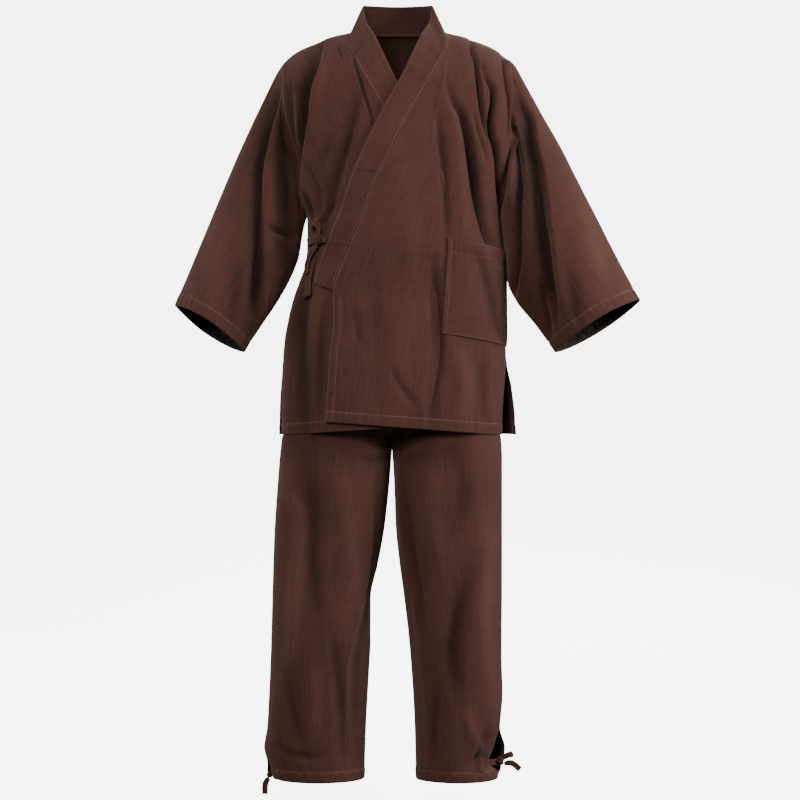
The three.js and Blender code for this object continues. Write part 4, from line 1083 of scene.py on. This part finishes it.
# The speckled facing's own speckled grey is darkened here to painted shade of the inside of the cuff.
grey = cotton("speckled_facing", (0.016, 0.011, 0.010), (0.17, 0.15, 0.14), (0.005, 0.004, 0.004),
              slub=3.4, warp_scale=(300, 210, 1), weft_scale=(210, 300, 1))
thread_mat, _, thread_shader = nodes_of("brown_thread")
put(thread_shader, Base_Color=(0.15, 0.070, 0.051, 1), Roughness=0.6, Sheen_Weight=0.3)

made = {}


def finish_piece(ob, material, *nodes):
    ob.data.materials.append(material)
    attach(ob, "root")
    if nodes:
        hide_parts(*nodes)
    return ob


def make(name, grid, *nodes, wall=WALL, material=brown, ring=False):
    """One piece of cloth from its points, normals and stored shade, noted in made for its stitches."""
    p, normals, shade_and_seam_tone = grid
    ob = finish_piece(cloth_mesh(name, p, normals, wall, shade_and_seam_tone, ring), material, *nodes)
    made[name] = (ob, p, normals, ring)


def thread_runs(name, runs):
    """Stitches: short rounded runs of thread along lines of (points, normals)."""
    ring = [(math.cos(a), math.sin(a)) for a in np.arange(4) * math.pi / 2]
    verts, faces = [], []
    step = STITCH_PITCH * 1.0
    for points, normals in runs:
        if len(points) < 2:
            continue
        far = running_length(points)
        for start in np.arange(2.0, far[-1] - STITCH_LENGTH - 1, step):
            at = [read_at(start + STITCH_LENGTH * share, far, points) for share in (0, 0.25, 0.75, 1)]
            n = unit(read_at(start, far, normals))
            s = np.cross(unit(at[-1] - at[0]), n)
            base = len(verts)
            for q, up, thin in zip(at, (-0.15, 0.28, 0.28, -0.15), (0.4, 1, 1, 0.4)):
                centre = q + n * up
                for cu, cv in ring:
                    verts.append(tuple((centre + (s * cu + n * cv) * STITCH_RADIUS * thin) * MM))
            for o in (base, base + 4, base + 8):
                for j in range(4):
                    m = (j + 1) % 4
                    faces.append((o + j, o + m, o + 4 + m, o + 4 + j))
            faces.append(tuple(base + j for j in range(3, -1, -1)))
            faces.append(tuple(base + 12 + j for j in range(4)))
    mesh = bpy.data.meshes.new(name)
    mesh.from_pydata(verts, [], faces)
    mesh.polygons.foreach_set("use_smooth", np.ones(len(mesh.polygons), bool))
    ob = bpy.data.objects.new(name, mesh)
    SCENE.collection.objects.link(ob)
    return finish_piece(ob, thread_mat)


def line_at(p, normals, distance, value, axis):
    """The line on a grid where an edge distance has the given value. axis 0 runs across, 1 down."""
    points, facing = [], []
    for d, q, n in zip(*(v.swapaxes(0, 1) if axis == 0 else v for v in (distance, p, normals))):
        order = np.argsort(d)
        if d[order[0]] <= value <= d[order[-1]]:
            points.append(read_at(value, d[order], q[order]))
            facing.append(read_at(value, d[order], n[order]))
    return np.array(points), np.array(facing)


*over, over_row = front_panel("left", BODY_LEFT_FOLDS, over_lift, 61)
*under, under_row = front_panel("right", BODY_RIGHT_FOLDS, under_lift, 71)
*back, back_x, back_row = back_panel()
make("front_left_cloth", over, "jacket_front_left")
make("front_right_cloth", under, "jacket_front_right")
make("back_cloth", back, "jacket_back")
make("collar_band", collar_band(back[0], back_x), "collar", wall=BAND_WALL)


def armhole(p, row, column):
    """The armhole edge of a panel, and the way that the cloth leaves it."""
    inner = 4 if column == 0 else -5
    rows = row <= UNDERARM_ROW + 0.02
    return p[rows, column], unit(p[rows, column] - p[rows, inner])


right_arm = sleeve(armhole(under[0], under_row, -1), armhole(back[0], back_row, 0),
                   right_sleeve, SLEEVE_RIGHT_FOLDS, -1, 81)
left_arm = sleeve(armhole(over[0], over_row, -1), armhole(back[0], back_row, -1),
                  left_sleeve, SLEEVE_LEFT_FOLDS, 1, 91)
make("sleeve_right_cloth", right_arm, "sleeve_right", ring=True)
make("sleeve_left_cloth", left_arm, "sleeve_left", ring=True)

leg_nodes = []
for side_name, front_folds, seed in (("right", LEG_RIGHT_FOLDS, 101), ("left", LEG_LEFT_FOLDS, 111)):
    for place, sign, folds, later in (("front", -1, front_folds, 0), ("back", 1, LEG_BACK_FOLDS, 5)):
        leg_nodes.append(f"trouser_{place}_{side_name}")
        make(leg_nodes[-1] + "_cloth", leg_panel(side_name, sign, folds, seed + later), leg_nodes[-1])


def sample(grid, r, c):
    """A grid read at fractional rows and columns."""
    i = np.clip(np.floor(r).astype(int), 0, grid.shape[0] - 2)
    j = np.clip(np.floor(c).astype(int), 0, grid.shape[1] - 2)
    a, b = (r - i)[..., None], (c - j)[..., None]
    return (grid[i, j] * (1 - a) * (1 - b) + grid[i + 1, j] * a * (1 - b)
            + grid[i, j + 1] * (1 - a) * b + grid[i + 1, j + 1] * a * b)


def on_cloth(p, n, path):
    """Points and normals of a grid where it is seen at the (x, z) of the path."""
    sx, sz = as_seen(*np.moveaxis(p, -1, 0))
    r, c = [], []
    for x, z in rounded(path, 16):
        i, j = np.unravel_index(np.argmin((sx - x) ** 2 + (sz - z) ** 2), sx.shape)
        i, j = min(max(i, 1), p.shape[0] - 2), min(max(j, 1), p.shape[1] - 2)
        slope = np.array([[sx[i + 1, j] - sx[i - 1, j], sx[i, j + 1] - sx[i, j - 1]],
                          [sz[i + 1, j] - sz[i - 1, j], sz[i, j + 1] - sz[i, j - 1]]]) / 2
        a, b = np.clip(np.linalg.solve(slope, (x - sx[i, j], z - sz[i, j])), -1, 1)
        r.append(i + a)
        c.append(j + b)
    r, c = np.array(r), np.array(c)
    return sample(p, r, c), unit(sample(n, r, c))


def pocket_panel():
    n_rows, n_columns = grid_count(180, 2.6), grid_count(112, 2.6)
    v = np.linspace(0, 1, n_rows)[:, None]
    h = np.linspace(0, 1, n_columns)[None, :]
    rows = mix(mix(12.42, 12.8, h), mix(16.74, 17.16, h), v)
    r = np.interp(rows, over_row, np.arange(len(over_row)))
    columns = np.arange(over[0].shape[1])
    c = np.zeros(r.shape)
    for i in range(n_rows):
        xs = sample(over[0], np.full(len(columns), r[i, 0]), columns.astype(float))[:, 0]
        start = np.interp(mix(92.0, 82.5, v[i, 0]), xs, columns)
        end = np.interp(xs[-1] - 1.2, xs, columns)
        c[i] = mix(start, end, h[0])
    base, facing = sample(over[0], r, c), unit(sample(over[1], r, c))
    for grid in (base, facing):
        even_out(grid.swapaxes(0, 1), 30)
    facing = unit(facing)
    crease = near_edge(h - 0.36 - 0.47 * v, 0.075) * smooth(0.02, 0.15, v) * (1 - smooth(0.85, 1, v))
    gape = 6.5 * (1 - smooth(0, 0.42, v)) * np.sin(math.pi * h) ** 0.8
    sag = 2.2 * near_edge(h - 0.55 - 0.35 * v, 0.16) * smooth(0.1, 0.5, v) * (1 - smooth(0.8, 1, v))
    belly = 1.6 * np.sin(math.pi * h) * smooth(0.1, 0.4, v) * (1 - smooth(0.75, 1, v))
    p = base + facing * (POCKET_LIFT + gape + sag + belly - 1.5 * crease)[..., None]
    p[..., 2] -= 3.0 * (1 - smooth(0, 0.3, v)) * np.sin(math.pi * h)
    normals = outward(grid_normals(p), p, (0, 0, -480))
    top, bottom, left, _ = edge_distances(p)
    p = hemmed(p, normals, top, left, 131, width=POCKET_HEM, lift=0.6, pucker=0.3)
    groove = near_edge(left - 2, 1.0) + near_edge(left - 7, 1.0) + near_edge(bottom - 2, 1.0)
    puckers = ripple(v * 180, h * 112, 133, 14, 0.35) * (near_edge(left, 9) + near_edge(bottom, 9))
    p = p + normals * (puckers - 0.35 * groove)[..., None]
    # Painted shade in the pocket's slanting crease; paler lines along its stitching, its top hem and its left
    # edge.
    shade_and_seam_tone = 0.5 * crease - 0.35 * groove - 0.5 * near_edge(top - POCKET_HEM, 1.4) - 0.35 * near_edge(left, 1.2)
    return p, normals, shade_and_seam_tone


make("pocket_cloth", pocket_panel(), "pocket")


def waistband():
    n_around, z = grid_count(900, 5), np.array([-364, -366, -372, -378, -384, -390, -396, -399.7])
    a = 2 * math.pi * np.arange(n_around) / n_around
    right, left = hip("right", -400.0), hip("left", -400.0)
    reach = np.where(np.cos(a) < 0, LEG_CENTRE_X - right, left - LEG_CENTRE_X)
    deep = np.where(np.sin(a) < 0, hip("front", -400.0), hip("back", -400.0))
    x = LEG_CENTRE_X + reach * np.sign(np.cos(a)) * np.abs(np.cos(a)) ** OVAL
    y = deep * np.sign(np.sin(a)) * np.abs(np.sin(a)) ** OVAL
    p = stack(x[None, :], y[None, :], z[:, None])
    normals = unit(stack(p[..., 0] - LEG_CENTRE_X, p[..., 1] * 1.4, 0 * p[..., 0]))
    gathers = 0.9 * np.sin(a * 96 + 2 * np.sin(a * 5)) * np.sin(math.pi * (z[:, None] + 400) / 36)
    # The gathers carry painted shade: darker where they sink in, paler where they stand out.
    return p + normals * gathers[..., None], normals, -0.2 * gathers


make("waistband_cloth", waistband(), "trouser_waistband", wall=BAND_WALL, ring=True)


def cuff_facing(name, p, normals):
    """A speckled strip on the inside of the back half of a cuff, a little back from its edge."""
    first = np.nonzero(edge_distances(p)[1].min(1) < FACING_DEPTH)[0][0]
    half = p.shape[1] // 2
    part, facing = (np.roll(v, -half, 1)[first:-1, :half + 1] for v in (p, normals))
    inside = part - facing * (WALL + FACING_LIFT)
    make(name, (inside, facing, 0 * inside[..., 0]), wall=FACING_WALL, material=grey)


cuff_facing("cuff_facing_right", *right_arm[:2])
cuff_facing("cuff_facing_left", *left_arm[:2])


def surface_path(points):
    """Points on the front given as (x, z, lift) where they are seen, with the way each one faces."""
    x, z, lift = np.array(points, float).T
    px, pz = seen_on_front(x, z)
    at = front_point(px, pz, lift, [], 0)[0]
    return at, unit(front_point(px, pz, lift + 5, [], 0)[0] - at)


def ribbon(node, at, face, width, seed):
    """A folded and stitched tie strip along a path, pinched where it leaves a knot."""
    line, facing = rounded(at, 10), unit(rounded(face, 10))
    along = np.linspace(0, 1, len(line))
    across = unit(np.cross(np.gradient(line, axis=0), facing))
    t = np.linspace(-1, 1, 9)
    rng = np.random.default_rng(seed)
    turn = 0.12 * np.sin(along * rng.uniform(4, 9) + rng.uniform(0, 6))[:, None, None]
    breadth = (width / 2 * mix(0.7, 1.0, smooth(0, 0.3, along)))[:, None, None]
    p = line[:, None] + (across[:, None] + facing[:, None] * turn) * breadth * t[None, :, None]
    hollow = 0.8 * (t[None, :] ** 2 - 0.4) + 0.35 * np.sin(along * 21 + seed)[:, None] * (1 - t[None, :] ** 2)
    p = p + facing[:, None] * hollow[..., None]
    normals = grid_normals(p)
    normals = turned(normals, np.sum(normals[:, 4] * facing))
    shade_and_seam_tone = -0.5 * near_edge((1 - np.abs(t))[None, :] * width / 2 - 1.6, 0.9) + 0 * along[:, None]
    make(node + "_strip", (p, normals, shade_and_seam_tone), node)


def knot(node, centre, size, tilt, seed):
    """A drawn-tight knot: a lump wrapped round by two turns of the folded strip."""
    n_lat, n_lon = 28, 44
    lat = np.linspace(0.06, math.pi - 0.06, n_lat)[:, None]
    lon = (2 * math.pi * np.arange(n_lon) / n_lon)[None, :]
    way = stack(np.sin(lat) * np.cos(lon), np.sin(lat) * np.sin(lon), np.cos(lat) + 0 * lon)
    c, s = math.cos(tilt), math.sin(tilt)
    u = way[..., 0] * c + way[..., 2] * s
    w = -way[..., 0] * s + way[..., 2] * c
    turns = 0.10 * np.cos(u * 7 + 1.2 * w) + 0.07 * np.abs(np.cos(w * 4 + u * 1.5 + seed)) - 0.03
    p = np.array(centre) + way * np.array(size) * (0.93 + turns)[..., None]
    normals = unit(way / np.array(size))
    # Painted shade on the knot: darker all over, and darkest in the hollows between its turns.
    return finish_piece(cloth_mesh(node + "_wrap", p, normals, 1.2, 0.35 - 3.0 * turns, True), brown, node)


BAND_END = surface_path([(-130.2, -391.4, 6.9), (-134, -391.2, 7.1), (-137.9, -391, 7.3)])
SIDE_END = surface_path([(-152.4, -390, 3.6), (-159, -392.4, 3.6), (-168, -397, 3.6)])
LOOP = surface_path([(-143.6, -380.6, 7.6), (-142, -368, 11), (-147, -357, 12), (-156, -362, 10)])
TAIL_FRONT = surface_path([(-146, -401, 7.8), (-156, -417, 9), (-163.5, -441, 10), (-165.5, -458, 9)])
TAIL_SIDE = surface_path([(-150.4, -401.2, 3.4), (-156, -424, 4), (-163.5, -460, 5), (-167.5, -498, 5)])
KNOT_AT = surface_path([(-143.4, -391, 7.3)])[0][0]
AHEAD, ASLANT, TIPPED = (0, -1, 0), (-0.6, -1, 0), (0, -1, 0.2)
ANKLE_BAND = ([(167.3, -18.5, -1371), (175, -12.5, -1371), (184.2, -6.1, -1371)], [ASLANT] * 3)
ANKLE_UPPER = ([(197, -4.2, -1364.9), (206, -8, -1358.6), (216, -9, -1355.6)], [AHEAD, AHEAD, TIPPED])
ANKLE_LOWER = ([(199.5, -3.4, -1375), (214, -8, -1373.6), (229, -10, -1385)], [AHEAD] * 3)
ANKLE_RIGHT = ([(-243.2, -1.6, -1402), (-249, -5, -1414), (-250, -5, -1432)], [AHEAD] * 3)

# Each strip: node, path and facing, width, seed, the knot that it hangs from, and whether it goes with it.
STRIPS = (
    ("tie_band_end", BAND_END, 11, 1, "tie_knot", False),
    ("tie_side_end", SIDE_END, 14, 2, "tie_knot", False),
    ("tie_loop", LOOP, 12, 3, "tie_knot", False),
    ("tie_tail_front", TAIL_FRONT, 12, 4, "tie_knot", False),
    ("tie_tail_side", TAIL_SIDE, 17, 5, "tie_knot", True),
    ("ankle_band_left", ANKLE_BAND, 11, 9, "ankle_knot_left", False),
    ("ankle_tail_left_upper", ANKLE_UPPER, 10.4, 6, "ankle_knot_left", False),
    ("ankle_tail_left_lower", ANKLE_LOWER, 10.4, 7, "ankle_knot_left", True),
    ("ankle_tail_right", ANKLE_RIGHT, 10.4, 8, "ankle_knot_right", True),
)
for node, (at, face), width, seed, _, _ in STRIPS:
    ribbon(node, at, face, width, seed)
knots = {node: knot(node, centre, size, tilt, seed) for node, centre, size, tilt, seed in (
    ("tie_knot", KNOT_AT, (8.6, 7, 10.6), 0.5, 1),
    ("ankle_knot_left", (191, -1.9, -1371), (8.8, 7.2, 9.2), 0.9, 2),
    ("ankle_knot_right", (-240.5, -0.9, -1396), (6.2, 6.2, 6.8), 0.3, 3),
)}


def run_at(p, n, edge, offset, first=0.0, last=1.0):
    """A line of stitching a given distance in from the top, hem, left or right edge of a grid."""
    kind = ("top", "hem", "left", "right").index(edge)
    points, facing = line_at(p, n, edge_distances(p)[kind], offset, 0 if kind < 2 else 1)
    a, b = int(first * len(points)), int(last * len(points))
    return points[a:b], facing[a:b]


def stitch(name, cloth, *lines, more=()):
    """Stitches on a piece of cloth. A line is an edge, a distance from it, and a first and last share."""
    _, p, n, _ = made[cloth]
    thread_runs(name, [run_at(p, n, *line) for line in lines] + list(more))


row_share = np.linspace(0, 1, len(over_row))
band_end = float(np.interp(BAND_END_ROW + 0.2, over_row, row_share))
vent_top = float(np.interp(17.2, over_row, row_share))
front_lines = (("hem", HEM), ("left", FREE_HEM, band_end), ("right", FRONT_VENT_HEM, vent_top))
stitch("front_left_stitches", "front_left_cloth", *front_lines, ("left", 1.6, 0.01, band_end))
stitch("front_right_stitches", "front_right_cloth", *front_lines)
stitch("back_stitches", "back_cloth", ("hem", HEM), ("left", BACK_VENT_HEM, vent_top),
       ("right", BACK_VENT_HEM, vent_top))
stitch("collar_stitches", "collar_band", ("left", BAND_STITCH), ("right", 3.0))
stitch("sleeve_right_stitches", "sleeve_right_cloth", ("hem", CUFF_HEM))
stitch("sleeve_left_stitches", "sleeve_left_cloth", ("hem", CUFF_HEM))
stitch("pocket_stitches", "pocket_cloth", ("left", 2), ("left", 7), ("hem", 2), ("top", POCKET_HEM))
SEAM_LINES = {
    "trouser_front_right": [(-49, -900), (-49, -966), (-64, -1072), (-94, -1196), (-98, -1290), (-98, -1380)],
    "trouser_front_left": [(-2, -850), (6, -930), (24, -1045), (40, -1160), (52, -1290), (54, -1385)],
}
for node in leg_nodes:
    _, p, n, _ = made[node + "_cloth"]
    inseam_line = [on_cloth(p, n, SEAM_LINES[node])] if node in SEAM_LINES else []
    stitch(node + "_stitches", node + "_cloth", ("hem", HEM), ("left", SLIT_HEM, 0.92), more=inseam_line)
